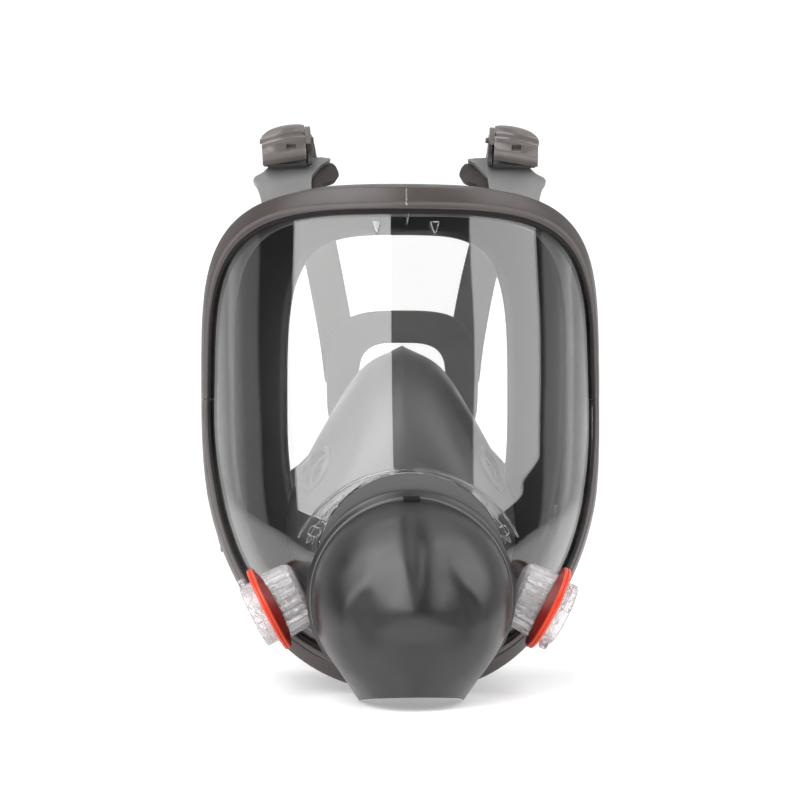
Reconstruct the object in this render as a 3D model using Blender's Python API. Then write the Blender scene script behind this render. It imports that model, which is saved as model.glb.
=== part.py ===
"""Full face respirator: visor, two-part frame, rubber face seal, nose cup, valves, bayonet ports,
exhalation cover and head harness with four cam-lever buckles.

Metres, +Z up, wearer's right on -X, the visor faces -Y.  The flat bottom of the front cover and the
chin of the face seal stand on z = 0.
"""
import math

import bmesh
import bpy
from mathutils import Matrix, Vector

MM = 0.001

# ---- overall layout ------------------------------------------------------------------------------
DEPTH_CENTRE = 47.6 * MM          # middle of the depth, which the root empty moves to y = 0
GAP = 0.3 * MM                    # clearance between pieces that touch
SIDES = (("left", -1.0), ("right", 1.0))

# ---- visor ---------------------------------------------------------------------------------------
LENS_THICK = 2.4 * MM
LENS_DEPTH = 75.0 * MM            # how far the visor wraps back, from its front to its widest point
LENS_HALF_WIDTH = ((0, 56), (20, 62), (40, 70.5), (60, 78), (80, 82.5), (120, 84.8), (160, 85.6), (220, 86))
LENS_FRONT = ((0, -7), (20, -13), (45, -16), (65, -14), (85, -9), (120, 0), (165, 9), (220, 23))
LENS_ROWS = 6
STATIONS = 56                     # stations around the visor's edge, shared by lens, frame and seal

EDGE_HALF_WIDTH = 83.3 * MM
EDGE_MIDDLE = 119.0 * MM          # height of the widest point, where the frame is split
EDGE_TOP = 202.5 * MM
EDGE_BOTTOM = 6.2 * MM
EDGE_POWER_TOP = 4.15
EDGE_POWER_BOTTOM = 2.3

# ---- centre port, adapter and exhalation valve ----------------------------------------------------
CENTRE_Z = 52.5 * MM
COLLAR_OUTER = 38.0 * MM
COLLAR_INNER = 35.0 * MM
COLLAR_FRONT = -18.5 * MM
COLLAR_BACK = -1.5 * MM
BARREL_BACK = 12.0 * MM
SEAT_HOLE = 15.0 * MM
EXHALE_RADIUS = 17.5 * MM

# ---- cheek ports ---------------------------------------------------------------------------------
PORT_X = 55.0 * MM
PORT_Y = -6.0 * MM
PORT_Z = 35.5 * MM
PORT_DROP = math.radians(27.0)    # how far the port axis points down
BOSS_RADIUS = 15.5 * MM
BOSS_LENGTH = 14.0 * MM
PORT_BORE = 11.0 * MM
BAYONET_RADIUS = 13.2 * MM
BAYONET_LENGTH = 8.5 * MM
GASKET_RADIUS = 17.8 * MM

# ---- front cover ---------------------------------------------------------------------------------
COVER_RADIUS = 41.5 * MM
COVER_Z = 41.5 * MM
COVER_BACK = -24.2 * MM
COVER_DEPTH = 36.0 * MM
COVER_THICK = 2.0 * MM
COVER_RIM = 3.5 * MM
CHUTE_HALF_WIDTH = 21.5 * MM

# ---- buckles -------------------------------------------------------------------------------------
BUCKLE_HALF_WIDTH = 10.5 * MM
CHEEK_THICK = 1.8 * MM
PIN_RADIUS = 1.2 * MM
PIN_HOLE = 1.5 * MM
PIN_V = 3.5 * MM
PIN_W = 3.4 * MM
CAM_RADIUS = 2.3
DOME_RADIUS = 7.0


# ---- scene and mesh helpers ----------------------------------------------------------------------
def clear_scene():
    for obj in list(bpy.data.objects):
        bpy.data.objects.remove(obj, do_unlink=True)


def material(name, color, roughness, metallic=0.0, transmission=0.0):
    mat = bpy.data.materials.new(name)
    mat.use_nodes = True
    shader = mat.node_tree.nodes["Principled BSDF"]
    shader.inputs["Base Color"].default_value = (*color, 1.0)
    shader.inputs["Roughness"].default_value = roughness
    shader.inputs["Metallic"].default_value = metallic
    shader.inputs["Transmission Weight"].default_value = transmission
    return mat


def add_object(name, bm, mat, matrix=None):
    """One finished object from a bmesh, under the root empty."""
    bmesh.ops.recalc_face_normals(bm, faces=bm.faces)
    mesh = bpy.data.meshes.new(name)
    bm.to_mesh(mesh)
    bm.free()
    mesh.shade_smooth()
    mesh.set_sharp_from_angle(angle=math.radians(35))
    obj = bpy.data.objects.new(name, mesh)
    bpy.context.scene.collection.objects.link(obj)
    obj.parent = ROOT
    if matrix is not None:
        obj.matrix_local = matrix
    if mat is not None:
        mesh.materials.append(mat)
    return obj


def tool_object(name, bm, matrix=None):
    """A guide solid for a Boolean, never part of the model."""
    obj = add_object(name, bm, None, matrix)
    obj.hide_render = True
    obj.display_type = "WIRE"
    return obj


def boolean(target, operand, operation):
    mod = target.modifiers.new(operation.lower(), "BOOLEAN")
    mod.operation = operation
    mod.solver = "EXACT"
    mod.object = operand


def cut(target, *operands):
    for operand in operands:
        boolean(target, operand, "DIFFERENCE")


def fuse(target, *operands):
    for operand in operands:
        boolean(target, operand, "UNION")


def solidify(obj, thickness, offset=0.0):
    mod = obj.modifiers.new("wall", "SOLIDIFY")
    mod.thickness = thickness
    mod.offset = offset
    mod.use_even_offset = True
    mod.use_rim = True


def grid_mesh(rows, closed):
    """A sheet through rows of points; closed joins the last row to the first."""
    bm = bmesh.new()
    verts = [[bm.verts.new(p) for p in row] for row in rows]
    count = len(verts)
    for i in range(count if closed else count - 1):
        a, b = verts[i], verts[(i + 1) % count]
        for j in range(len(a) - 1):
            bm.faces.new((a[j], a[j + 1], b[j + 1], b[j]))
    return bm


def loft_mesh(sections, closed):
    """A solid through closed sections; an open run of sections is capped."""
    bm = bmesh.new()
    loops = [[bm.verts.new(p) for p in section] for section in sections]
    size = len(loops[0])
    count = len(loops)
    for i in range(count if closed else count - 1):
        a, b = loops[i], loops[(i + 1) % count]
        for j in range(size):
            k = (j + 1) % size
            bm.faces.new((a[j], a[k], b[k], b[j]))
    if not closed:
        bm.faces.new(loops[0])
        bm.faces.new(loops[-1])
    return bm


def turned_mesh(profile, steps=40):
    """A profile of (radius, height) points spun once about local Z with bmesh's spin."""
    bm = bmesh.new()
    verts = [bm.verts.new((r, 0.0, h)) for r, h in profile]
    solid = min(r for r, h in profile) < 1e-6
    edges = [bm.edges.new((a, b)) for a, b in zip(verts, verts[1:])]
    if not solid:
        edges.append(bm.edges.new((verts[-1], verts[0])))
    bmesh.ops.spin(bm, geom=verts + edges, axis=(0, 0, 1), cent=(0, 0, 0), steps=steps, angle=math.tau)
    bmesh.ops.remove_doubles(bm, verts=bm.verts, dist=1e-6)
    return bm


def extruded_mesh(outline, half_width):
    """A (v, w) outline extruded along local X, from -half_width to +half_width."""
    bm = bmesh.new()
    face = bm.faces.new([bm.verts.new((-half_width, v, w)) for v, w in outline])
    moved = bmesh.ops.extrude_face_region(bm, geom=[face])["geom"]
    top = [g for g in moved if isinstance(g, bmesh.types.BMVert)]
    bmesh.ops.translate(bm, verts=top, vec=(2 * half_width, 0, 0))
    return bm


def box_mesh(low, high):
    bm = bmesh.new()
    bmesh.ops.create_cube(bm, size=1.0)
    size = Vector(high) - Vector(low)
    centre = (Vector(high) + Vector(low)) / 2
    bmesh.ops.transform(bm, matrix=Matrix.Translation(centre) @ Matrix.Diagonal((*size, 1.0)), verts=bm.verts)
    return bm


def rod_mesh(radius, low, high, steps=40):
    return turned_mesh([(0, low), (radius, low), (radius, high), (0, high)], steps)


def axes_matrix(origin, x_axis, y_axis, z_axis):
    matrix = Matrix((x_axis, y_axis, z_axis)).transposed().to_4x4()
    matrix.translation = origin
    return matrix


def axis_matrix(origin, direction, across=Vector((0, 1, 0))):
    """A frame whose local Z runs along direction and whose local X is across, squared up."""
    z_axis = Vector(direction).normalized()
    x_axis = (across - z_axis * across.dot(z_axis)).normalized()
    return axes_matrix(origin, x_axis, z_axis.cross(x_axis), z_axis)


def table_value(table, at):
    """A smooth curve through (position, value) pairs in millimetres, Catmull-Rom style."""
    at = min(max(at / MM, table[0][0]), table[-1][0])
    last = len(table) - 2
    i = min(max(k for k in range(last + 1) if table[k][0] <= at), last)
    (x0, y0), (x1, y1) = table[i], table[i + 1]
    xa, ya = table[max(i - 1, 0)]
    xb, yb = table[min(i + 2, last + 1)]
    slope0 = (y1 - ya) / (x1 - xa)
    slope1 = (yb - y0) / (xb - x0)
    t = (at - x0) / (x1 - x0)
    span = x1 - x0
    value = (2 * t**3 - 3 * t**2 + 1) * y0 + (t**3 - 2 * t**2 + t) * span * slope0
    value += (3 * t**2 - 2 * t**3) * y1 + (t**3 - t**2) * span * slope1
    return value * MM


# ---- visor surface and its edge --------------------------------------------------------------------
def lens_point(x, z):
    """A point of the visor's outer surface: elliptic level sections behind a leaning front line."""
    ratio = min(abs(x) / table_value(LENS_HALF_WIDTH, z), 0.999)
    depth = LENS_DEPTH * (1.0 - math.sqrt(1.0 - ratio * ratio))
    return Vector((x, table_value(LENS_FRONT, z) + depth, z))


def lens_normal(x, z):
    """Outward normal of the visor's outer surface."""
    step = 0.2 * MM
    along_x = lens_point(x + step, z) - lens_point(x - step, z)
    along_z = lens_point(x, z + step) - lens_point(x, z - step)
    return along_x.cross(along_z).normalized()


def wrap_angle(x, z):
    """How far round the visor's level ellipse a point lies, 0 at the front."""
    return math.asin(x / table_value(LENS_HALF_WIDTH, z))


def edge_outline(angle):
    """The visor's edge seen from the front: two half superellipses that meet at the widest point."""
    upper = math.sin(angle) >= 0
    power = EDGE_POWER_TOP if upper else EDGE_POWER_BOTTOM
    height = EDGE_TOP - EDGE_MIDDLE if upper else EDGE_MIDDLE - EDGE_BOTTOM
    x = EDGE_HALF_WIDTH * math.copysign(abs(math.cos(angle)) ** (2 / power), math.cos(angle))
    z = EDGE_MIDDLE + height * math.copysign(abs(math.sin(angle)) ** (2 / power), math.sin(angle))
    return x, z


def quarter_angles(start, stop, count):
    """Angles that space the edge's points evenly along its length."""
    fine = 400
    angles = [start + (stop - start) * k / fine for k in range(fine + 1)]
    points = [lens_point(*edge_outline(a)) for a in angles]
    lengths = [0.0]
    for a, b in zip(points, points[1:]):
        lengths.append(lengths[-1] + (b - a).length)
    picked = []
    k = 0
    for n in range(count):
        target = lengths[-1] * n / count
        while lengths[k + 1] < target:
            k += 1
        share = (target - lengths[k]) / max(lengths[k + 1] - lengths[k], 1e-12)
        picked.append(angles[k] + (angles[k + 1] - angles[k]) * share)
    return picked


class Station:
    """One station of the edge: its point, the visor's normal and the outward in-surface direction."""

    def __init__(self, angle):
        self.angle = angle
        self.x, self.z = edge_outline(angle)
        self.point = lens_point(self.x, self.z)
        self.normal = lens_normal(self.x, self.z)
        step = 1e-3
        tangent = lens_point(*edge_outline(angle + step)) - lens_point(*edge_outline(angle - step))
        self.out = tangent.cross(self.normal).normalized()
        if self.out.dot(Vector((self.x, 0, self.z - EDGE_MIDDLE))) < 0 and abs(self.x) < 0.9 * EDGE_HALF_WIDTH:
            self.out.negate()
        if self.out.y < 0 and abs(self.x) > 0.9 * EDGE_HALF_WIDTH:
            self.out.negate()

    def at(self, out, normal):
        return self.point + self.out * out + self.normal * normal


def make_stations():
    quarter = STATIONS // 4
    stations = []
    for n in range(4):
        start = math.pi / 2 * n
        stations += [Station(a) for a in quarter_angles(start, start + math.pi / 2, quarter)]
    return stations


# ---- lens with its collar and cheek ports ----------------------------------------------------------
def port_matrix(side):
    origin = Vector((side * PORT_X, PORT_Y, PORT_Z))
    direction = Vector((side * math.cos(PORT_DROP), 0, -math.sin(PORT_DROP)))
    return axis_matrix(origin, direction)


def collar_mesh():
    front, back = COLLAR_FRONT, COLLAR_BACK
    profile = [(COLLAR_INNER, front), (COLLAR_OUTER, front), (COLLAR_OUTER, back), (COLLAR_INNER, back)]
    return turned_mesh(profile, 40)


def lens():
    hold = 36.5 * MM
    rows = []
    for station in STATION_LIST:
        towards = Vector((station.x, station.z - CENTRE_Z)).normalized() * hold
        inner_z = CENTRE_Z + towards.y
        start, stop = wrap_angle(station.x, station.z), wrap_angle(towards.x, inner_z)
        row = []
        for j in range(LENS_ROWS + 1):
            share = (j / LENS_ROWS) ** 1.25
            z = station.z + (inner_z - station.z) * share
            wrap = start + (stop - start) * share
            row.append(lens_point(math.sin(wrap) * table_value(LENS_HALF_WIDTH, z), z))
        rows.append(row)
    obj = add_object("lens", grid_mesh(rows, True), CLEAR)
    solidify(obj, LENS_THICK, offset=-1.0)
    along_y = axis_matrix(Vector((0, 0, CENTRE_Z)), (0, 1, 0), Vector((1, 0, 0)))
    fuse(obj, tool_object("collar_tool", collar_mesh(), along_y))
    for word, side in SIDES:
        frame = port_matrix(side)
        fuse(obj, tool_object("boss_tool_" + word, port_boss_mesh(), frame))
        for turn in range(3):
            lug = Matrix.Rotation(math.radians(120 * turn + 30), 4, "Z")
            fuse(obj, tool_object("lug_tool_%s_%d" % (word, turn), port_lug_mesh(), frame @ lug))
        bore = rod_mesh(PORT_BORE, -BOSS_LENGTH + 2 * MM, BAYONET_LENGTH + 2 * MM, 24)
        cut(obj, tool_object("bore_tool_" + word, bore, frame))
        throat = frame @ Vector((0, 0, -BOSS_LENGTH + 7.5 * MM))
        towards_face = axis_matrix(throat, (0, 1, 0), Vector((1, 0, 0)))
        cut(obj, tool_object("throat_tool_" + word, rod_mesh(6.5 * MM, 0, 26 * MM, 16), towards_face))
    return obj


def port_boss_mesh():
    round_end = 3.0 * MM
    profile = [(0, -BOSS_LENGTH), (BOSS_RADIUS - round_end, -BOSS_LENGTH)]
    profile += [(BOSS_RADIUS, -BOSS_LENGTH + round_end), (BOSS_RADIUS, 0)]
    profile += [(BAYONET_RADIUS, 0), (BAYONET_RADIUS, BAYONET_LENGTH), (0, BAYONET_LENGTH)]
    return turned_mesh(profile, 24)


def port_lug_mesh():
    """A bayonet lug: a short arc standing out from the tube."""
    inner, outer = BAYONET_RADIUS - 0.8 * MM, BAYONET_RADIUS + 2.8 * MM
    low, high = 5.2 * MM, 7.6 * MM
    sections = []
    for k in range(4):
        turn = math.radians(-21 + 14 * k)
        c, s = math.cos(turn), math.sin(turn)
        sections.append([(r * c, r * s, h) for r, h in ((inner, low), (outer, low), (outer, high), (inner, high))])
    return loft_mesh(sections, False)


# ---- frame -----------------------------------------------------------------------------------------
FRAME_SECTION = (
    (-4.5, 0.3), (-4.5, 1.7), (-3.6, 2.6), (3.3, 2.6), (4.5, 1.4), (4.5, -6.2),
    (3.7, -7.0), (-1.0, -7.0), (-1.0, -5.7), (0.3, -5.7), (0.3, 0.3),
)
LUG_LENGTH = 8.0 * MM
SCREW_X = 82.0 * MM
SCREW_Y = 70.5 * MM
SCREW_RADIUS = 1.5 * MM


def frame_half(name, stations, side_of_split):
    sections = []
    for station in stations:
        sections.append([station.at(o * MM, n * MM) for o, n in FRAME_SECTION])
    for section in (sections[0], sections[-1]):
        for point in section:
            point.z += side_of_split * GAP / 2
    obj = add_object(name, loft_mesh(sections, False), FRAME_MAT)
    low = EDGE_MIDDLE + (GAP / 2 if side_of_split > 0 else -LUG_LENGTH)
    high = EDGE_MIDDLE + (LUG_LENGTH if side_of_split > 0 else -GAP / 2)
    for word, side in SIDES:
        inner, outer = sorted((side * (SCREW_X - 2.7 * MM), side * (SCREW_X + 3.0 * MM)))
        lug = box_mesh((inner, SCREW_Y - 7 * MM, low), (outer, SCREW_Y + 3.2 * MM, high))
        fuse(obj, tool_object("%s_lug_%s" % (name, word), lug))
        place = Matrix.Translation((side * SCREW_X, SCREW_Y, EDGE_MIDDLE))
        hole = rod_mesh(SCREW_RADIUS + GAP, -12 * MM, 12 * MM, 16)
        cut(obj, tool_object("%s_hole_%s" % (name, word), hole, place))
    return obj


def frame_screws():
    for word, side in SIDES:
        place = Matrix.Translation((side * SCREW_X, SCREW_Y, EDGE_MIDDLE))
        top = LUG_LENGTH + GAP
        head = [(0, -11.5 * MM), (SCREW_RADIUS, -11.5 * MM), (SCREW_RADIUS, top), (2.6 * MM, top)]
        head += [(2.6 * MM, top + 1.2 * MM), (1.8 * MM, top + 1.9 * MM), (0, top + 1.9 * MM)]
        add_object("frame_screw_" + word, turned_mesh(head, 20), STEEL, place)
        low = -LUG_LENGTH - GAP
        bore = SCREW_RADIUS + GAP
        nut = [(bore, low - 2.4 * MM), (2.7 * MM, low - 2.4 * MM), (2.7 * MM, low), (bore, low)]
        add_object("frame_nut_" + word, turned_mesh(nut, 6), STEEL, place)


# ---- face seal -------------------------------------------------------------------------------------
SEAL_THICK = 2.4 * MM
SEAL_CENTRE_Z = 112.0 * MM


def seal_row(station):
    """Half-thickness line of the seal: groove lip, turn behind the frame, side wall, rim and face flap."""
    low = max(0.0, (EDGE_MIDDLE - station.z) / (EDGE_MIDDLE - EDGE_BOTTOM))
    side_share = abs(station.x) / EDGE_HALF_WIDTH
    top = station.z > EDGE_MIDDLE
    lip_out = (7.0 - 6.2 * low**2) * MM
    rim_height = 97.5 * MM if top else 110.2 * MM
    edge_height = EDGE_TOP - EDGE_MIDDLE if top else EDGE_MIDDLE - EDGE_BOTTOM
    lift = (station.z - EDGE_MIDDLE) / edge_height
    centre_y = 60.0 * MM if top else 68.0 * MM
    rim = Vector((0.925 * station.x, centre_y + (104.0 * MM - centre_y) * side_share**1.6, 0))
    rim.z = SEAL_CENTRE_Z + rim_height * lift
    flap = Vector((0.60 * station.x, rim.y - 7.0 * MM, SEAL_CENTRE_Z + (78.0 if top else 86.0) * MM * lift))
    behind = station.at(lip_out, -9.8 * MM)
    belly = behind.lerp(rim, 0.55) + Vector((0, 0, 1.5 * MM * lift if top else 0))
    inner = rim.lerp(flap, 0.45) + Vector((0, 2.5 * MM, 0))
    start = [station.at(-GAP, -4.1 * MM), station.at(-3.0 * MM, -4.1 * MM), station.at(-3.4 * MM, -9.6 * MM)]
    return start + [behind, belly, rim, inner, flap]


def face_seal():
    obj = add_object("face_seal", grid_mesh([seal_row(s) for s in STATION_LIST], True), RUBBER)
    solidify(obj, SEAL_THICK)
    for name, frame in BUCKLE_FRAMES.items():
        fuse(obj, tool_object("tab_tool_" + name, tab_mesh(name), frame))
    return obj


def tab_mesh(name):
    """A strap tab: wide where it leaves the seal, narrow where the buckle is riveted to it."""
    root = -26.0 * MM if name.startswith("upper") else -22.0 * MM
    wide = 16.5 * MM if name.startswith("upper") else 13.0 * MM
    outline = [(-wide, root), (wide, root), (wide, root + 9 * MM), (9.0 * MM, -9.0 * MM)]
    outline += [(7.5 * MM, 3.0 * MM), (-7.5 * MM, 3.0 * MM), (-9.0 * MM, -9.0 * MM), (-wide, root + 9 * MM)]
    low, high = -6.4 * MM, -3.5 * MM
    return loft_mesh([[(u, v, low) for u, v in outline], [(u, v, high) for u, v in outline]], False)


# ---- nose cup --------------------------------------------------------------------------------------
CUP_THICK = 2.0 * MM
CUP_RING = 36.2 * MM
CUP_STATIONS = 32
CUP_ROWS = 6
CUP_VALVE_TURN = math.radians(62)
CUP_VALVE_SHARE = 0.50
CUP_VALVE_HOLE = 8.0 * MM
CUP_SEAT = (-2.6 * MM, 2.2 * MM)  # the valve seat's inner and outer faces, from the middle of the wall
CUP_OUTLINE = (
    (0, 141, 56), (16, 132, 58), (29, 113, 62), (40, 93, 65), (47.5, 74, 67),
    (48, 55, 67), (39, 36, 65), (21, 24, 61), (0, 20, 60),
)


def cup_back_point(share):
    """The cup's rim against the face, from the nose bridge (0) to under the lip (1)."""
    spread = [(k * 10, p) for k, p in enumerate(CUP_OUTLINE)]
    return [table_value([(s, p[axis]) for s, p in spread], share * 80 * MM) for axis in range(3)]


def cup_point(turn, share):
    """The cup's wall: turn runs round from the top, share from its front ring (0) to its rim (1)."""
    side = 1.0 if turn <= math.pi else -1.0
    x, z, y = cup_back_point((turn if side > 0 else math.tau - turn) / math.pi)
    back = Vector((side * x, y, z))
    ring = Vector((CUP_RING * math.sin(turn), BARREL_BACK + 1.5 * MM, CENTRE_Z + CUP_RING * math.cos(turn)))
    point = ring.lerp(back, 1.0 - (1.0 - share) ** 1.7)
    point.y = ring.y + (back.y - ring.y) * share**1.25
    return point


def cup_valve_matrix(side):
    turn = CUP_VALVE_TURN if side > 0 else math.tau - CUP_VALVE_TURN
    step = 0.02
    along = cup_point(turn, CUP_VALVE_SHARE + step) - cup_point(turn, CUP_VALVE_SHARE - step)
    around = cup_point(turn + step, CUP_VALVE_SHARE) - cup_point(turn - step, CUP_VALVE_SHARE)
    outward = around.cross(along)
    if outward.x * side < 0:
        outward.negate()
    return axis_matrix(cup_point(turn, CUP_VALVE_SHARE), outward)


def nose_cup():
    rows = []
    for n in range(CUP_STATIONS):
        turn = math.tau * n / CUP_STATIONS
        front = cup_point(turn, 0.0)
        front.y = COLLAR_BACK + 1.0 * MM
        rows.append([front] + [cup_point(turn, k / CUP_ROWS) for k in range(CUP_ROWS + 1)])
    obj = add_object("nose_cup", grid_mesh(rows, True), CUP_RUBBER)
    solidify(obj, CUP_THICK)
    for word, side in SIDES:
        frame = cup_valve_matrix(side)
        inside, outside = CUP_SEAT
        fuse(obj, tool_object("cup_boss_" + word, rod_mesh(10.4 * MM, inside, outside, 24), frame))
        cut(obj, tool_object("cup_hole_" + word, rod_mesh(CUP_VALVE_HOLE, -9 * MM, 9 * MM, 24), frame))
        valve_seat("nose_cup_seat_" + word, frame, CUP_VALVE_HOLE - GAP, inside, inside + 2.4 * MM)
        flap_valve("nose_cup_valve_" + word, frame, CUP_VALVE_HOLE - 2 * GAP, inside)


def valve_seat(name, frame, radius, low, high):
    """A ring with two crossed bars and a hole in the middle that holds a flap valve's stem."""
    wall, half, inset = 1.8 * MM, 1.3 * MM, 0.4 * MM
    ring = [(radius - wall, low), (radius, low), (radius, high), (radius - wall, high)]
    obj = add_object(name, turned_mesh(ring, 20), DARK_PLASTIC, frame)
    reach = radius - wall / 2
    for turn in range(2):
        bar = box_mesh((-reach, -half, low + inset + 0.1 * MM * turn), (reach, half, high - inset - 0.1 * MM * turn))
        place = frame @ Matrix.Rotation(math.pi / 2 * turn, 4, "Z")
        fuse(obj, tool_object("%s_bar_%d" % (name, turn), bar, place))
    cut(obj, tool_object(name + "_hole", rod_mesh(0.8 * MM, low - 3 * MM, high + 3 * MM, 12), frame))


def flap_valve(name, frame, radius, seat):
    """A thin rubber disc just inside its seat, with a stem through the seat's bar."""
    face = seat - GAP
    stem = 0.5 * MM
    profile = [(0, face - 1.1 * MM), (radius, face - 0.7 * MM), (radius, face), (stem, face)]
    profile += [(stem, face + 3.4 * MM), (0, face + 3.4 * MM)]
    add_object(name, turned_mesh(profile, 20), VALVE_RUBBER, frame)


# ---- adapter and exhalation valve ------------------------------------------------------------------
def centre_frame():
    """Local Z runs back into the mask, from the wall of the visor's collar."""
    return axis_matrix(Vector((0, 0, CENTRE_Z)), (0, 1, 0), Vector((1, 0, 0)))


def center_adapter():
    front = COLLAR_FRONT - 0.4 * MM
    barrel = COLLAR_INNER - GAP
    web = front - 2.6 * MM
    profile = [(SEAT_HOLE, web), (COLLAR_OUTER - 0.5 * MM, web), (COLLAR_OUTER - 0.5 * MM, front)]
    profile += [(barrel, front), (barrel, BARREL_BACK), (barrel - 2.8 * MM, BARREL_BACK)]
    profile += [(barrel - 2.8 * MM, front + 0.8 * MM), (SEAT_HOLE, front + 0.8 * MM)]
    obj = add_object("center_adapter", turned_mesh(profile, 40), DARK_PLASTIC, centre_frame())
    reach = SEAT_HOLE + 1.0 * MM
    half = 1.3 * MM
    low, high = web + 0.6 * MM, front + 0.4 * MM
    spokes = tool_object("spoke_tool_a", box_mesh((-reach, -half, low), (reach, half, high)), centre_frame())
    crossing = tool_object("spoke_tool_b", box_mesh((-half, -reach, low), (half, reach, high)), centre_frame())
    hub = tool_object("hub_tool", rod_mesh(4.0 * MM, low - 0.2 * MM, high + 0.2 * MM, 24), centre_frame())
    fuse(obj, spokes, crossing, hub)
    cut(obj, tool_object("hub_hole", rod_mesh(1.9 * MM, web - 4 * MM, 0, 20), centre_frame()))


def exhalation_valve():
    seat = COLLAR_FRONT - 3.0 * MM
    stem, bulb = 1.5 * MM, 1.75 * MM
    face = seat - GAP
    profile = [(0, face - 1.6 * MM), (5 * MM, face - 1.4 * MM), (EXHALE_RADIUS, face - 0.9 * MM)]
    profile += [(EXHALE_RADIUS, face), (stem, face), (stem, face + 4.6 * MM), (bulb, face + 5.4 * MM)]
    profile += [(1.2 * MM, face + 7.6 * MM), (0, face + 7.6 * MM)]
    add_object("exhalation_valve", turned_mesh(profile, 28), VALVE_RUBBER, centre_frame())


# ---- front cover -----------------------------------------------------------------------------------
def cover_half_width(z):
    """Round above, then straight sides that run in to the chute."""
    body = COVER_RADIUS - COVER_RIM
    chute = CHUTE_HALF_WIDTH - COVER_RIM * 0.5
    tangent = math.radians(-38)
    knee = COVER_Z + body * math.sin(tangent)
    if z >= knee:
        return math.sqrt(max(body**2 - (z - COVER_Z) ** 2, 0.0))
    wide = body * math.cos(tangent)
    return chute + (wide - chute) * z / knee


def cover_depth(z):
    """How far the cover stands forward on its middle line."""
    if z <= COVER_Z:
        return COVER_DEPTH
    ratio = (z - COVER_Z) / (COVER_RADIUS - COVER_RIM)
    return COVER_DEPTH * max(1.0 - ratio**2.2, 0.0) ** 0.6


def front_cover():
    heights = [0.0, 6.0 * MM, 12.0 * MM, 18.0 * MM, 24.0 * MM, 30.0 * MM, 36.0 * MM, COVER_Z]
    reach = COVER_RADIUS - COVER_RIM
    heights += [COVER_Z + reach * math.sin(math.radians(a)) for a in (10, 20, 30, 40, 50, 59, 67, 74, 80, 85)]
    rows = []
    for z in heights:
        half = cover_half_width(z)
        rise = (half, z - COVER_Z)
        scale = COVER_RIM / max(math.hypot(*rise), 1e-9) if z > COVER_Z else COVER_RIM / max(half, 1e-9)
        flange = (half + rise[0] * scale, z + (rise[1] * scale if z > COVER_Z else 0.0))
        row = [Vector((-flange[0], COVER_BACK, flange[1]))]
        for k in range(17):
            turn = math.radians(-90 + 11.25 * k)
            forward = cover_depth(z) * math.cos(turn) ** 0.8 if abs(turn) < math.radians(89.9) else 0.0
            row.append(Vector((half * math.sin(turn), COVER_BACK - 1.0 * MM - forward, z)))
        row.append(Vector((flange[0], COVER_BACK, flange[1])))
        rows.append(row)
    obj = add_object("front_cover", grid_mesh(rows, False), COVER_MAT)
    solidify(obj, COVER_THICK, offset=-1.0)


# ---- cheek port pieces -----------------------------------------------------------------------------
def port_pieces():
    for word, side in SIDES:
        frame = port_matrix(side)
        inner = BAYONET_RADIUS + GAP
        ring = [(inner, GAP), (GASKET_RADIUS, GAP), (GASKET_RADIUS, 2.8 * MM), (inner, 2.8 * MM)]
        add_object("port_gasket_" + word, turned_mesh(ring, 32), GASKET_MAT, frame)
        valve_seat("port_seat_" + word, frame, PORT_BORE - GAP, -3.2 * MM, -0.8 * MM)
        flap_valve("inhalation_valve_" + word, frame, 9.4 * MM, -3.2 * MM)


# ---- buckles ---------------------------------------------------------------------------------------
def buckle_frames():
    """Local X across the strap, local Y towards the strap's free end, local Z away from the wearer."""
    frames = {}
    for word, side in SIDES:
        up = Vector((side * 0.06, 0.60, 0.80)).normalized()
        out = Vector((0, -0.80, 0.60))
        out = (out - up * out.dot(up)).normalized()
        frames["upper_" + word] = axes_matrix(Vector((side * 49.5, 78.0, 228.0)) * MM, up.cross(out), up, out)
        back = Vector((-side * 0.20, 0.93, 0.12)).normalized()
        out = Vector((side, 0.20, 0.0))
        out = (out - back * out.dot(back)).normalized()
        frames["lower_" + word] = axes_matrix(Vector((side * 72.5, 116.0, 62.0)) * MM, back.cross(out), back, out)
    return frames


def pin_frame(frame):
    """The buckle's pin: local X stays along it."""
    return frame @ Matrix.Translation((0, PIN_V, PIN_W))


def buckle_body(name, frame):
    outline = [(-9, -3.2), (7, -3.2), (7, 3.4), (5.2, 5.6), (1.8, 5.6), (-1.5, 1.8), (-5.5, 2.4), (-9, 2.4)]
    obj = add_object("buckle_body_" + name, extruded_mesh([(v * MM, w * MM) for v, w in outline],
                                                          BUCKLE_HALF_WIDTH), BUCKLE_MAT, frame)
    inside = BUCKLE_HALF_WIDTH - CHEEK_THICK
    channel = box_mesh((-inside, -5.5 * MM, -1.2 * MM), (inside, 12 * MM, 12 * MM))
    entry = box_mesh((-inside, -12 * MM, -1.1 * MM), (inside, -4 * MM, 1.4 * MM))
    cut(obj, tool_object("channel_" + name, channel, frame), tool_object("entry_" + name, entry, frame))
    along_x = axis_matrix(pin_frame(frame).translation, frame.col[0].to_3d(), frame.col[1].to_3d())
    cut(obj, tool_object("pin_hole_" + name, rod_mesh(PIN_HOLE, -15 * MM, 15 * MM, 16), along_x))


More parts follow.
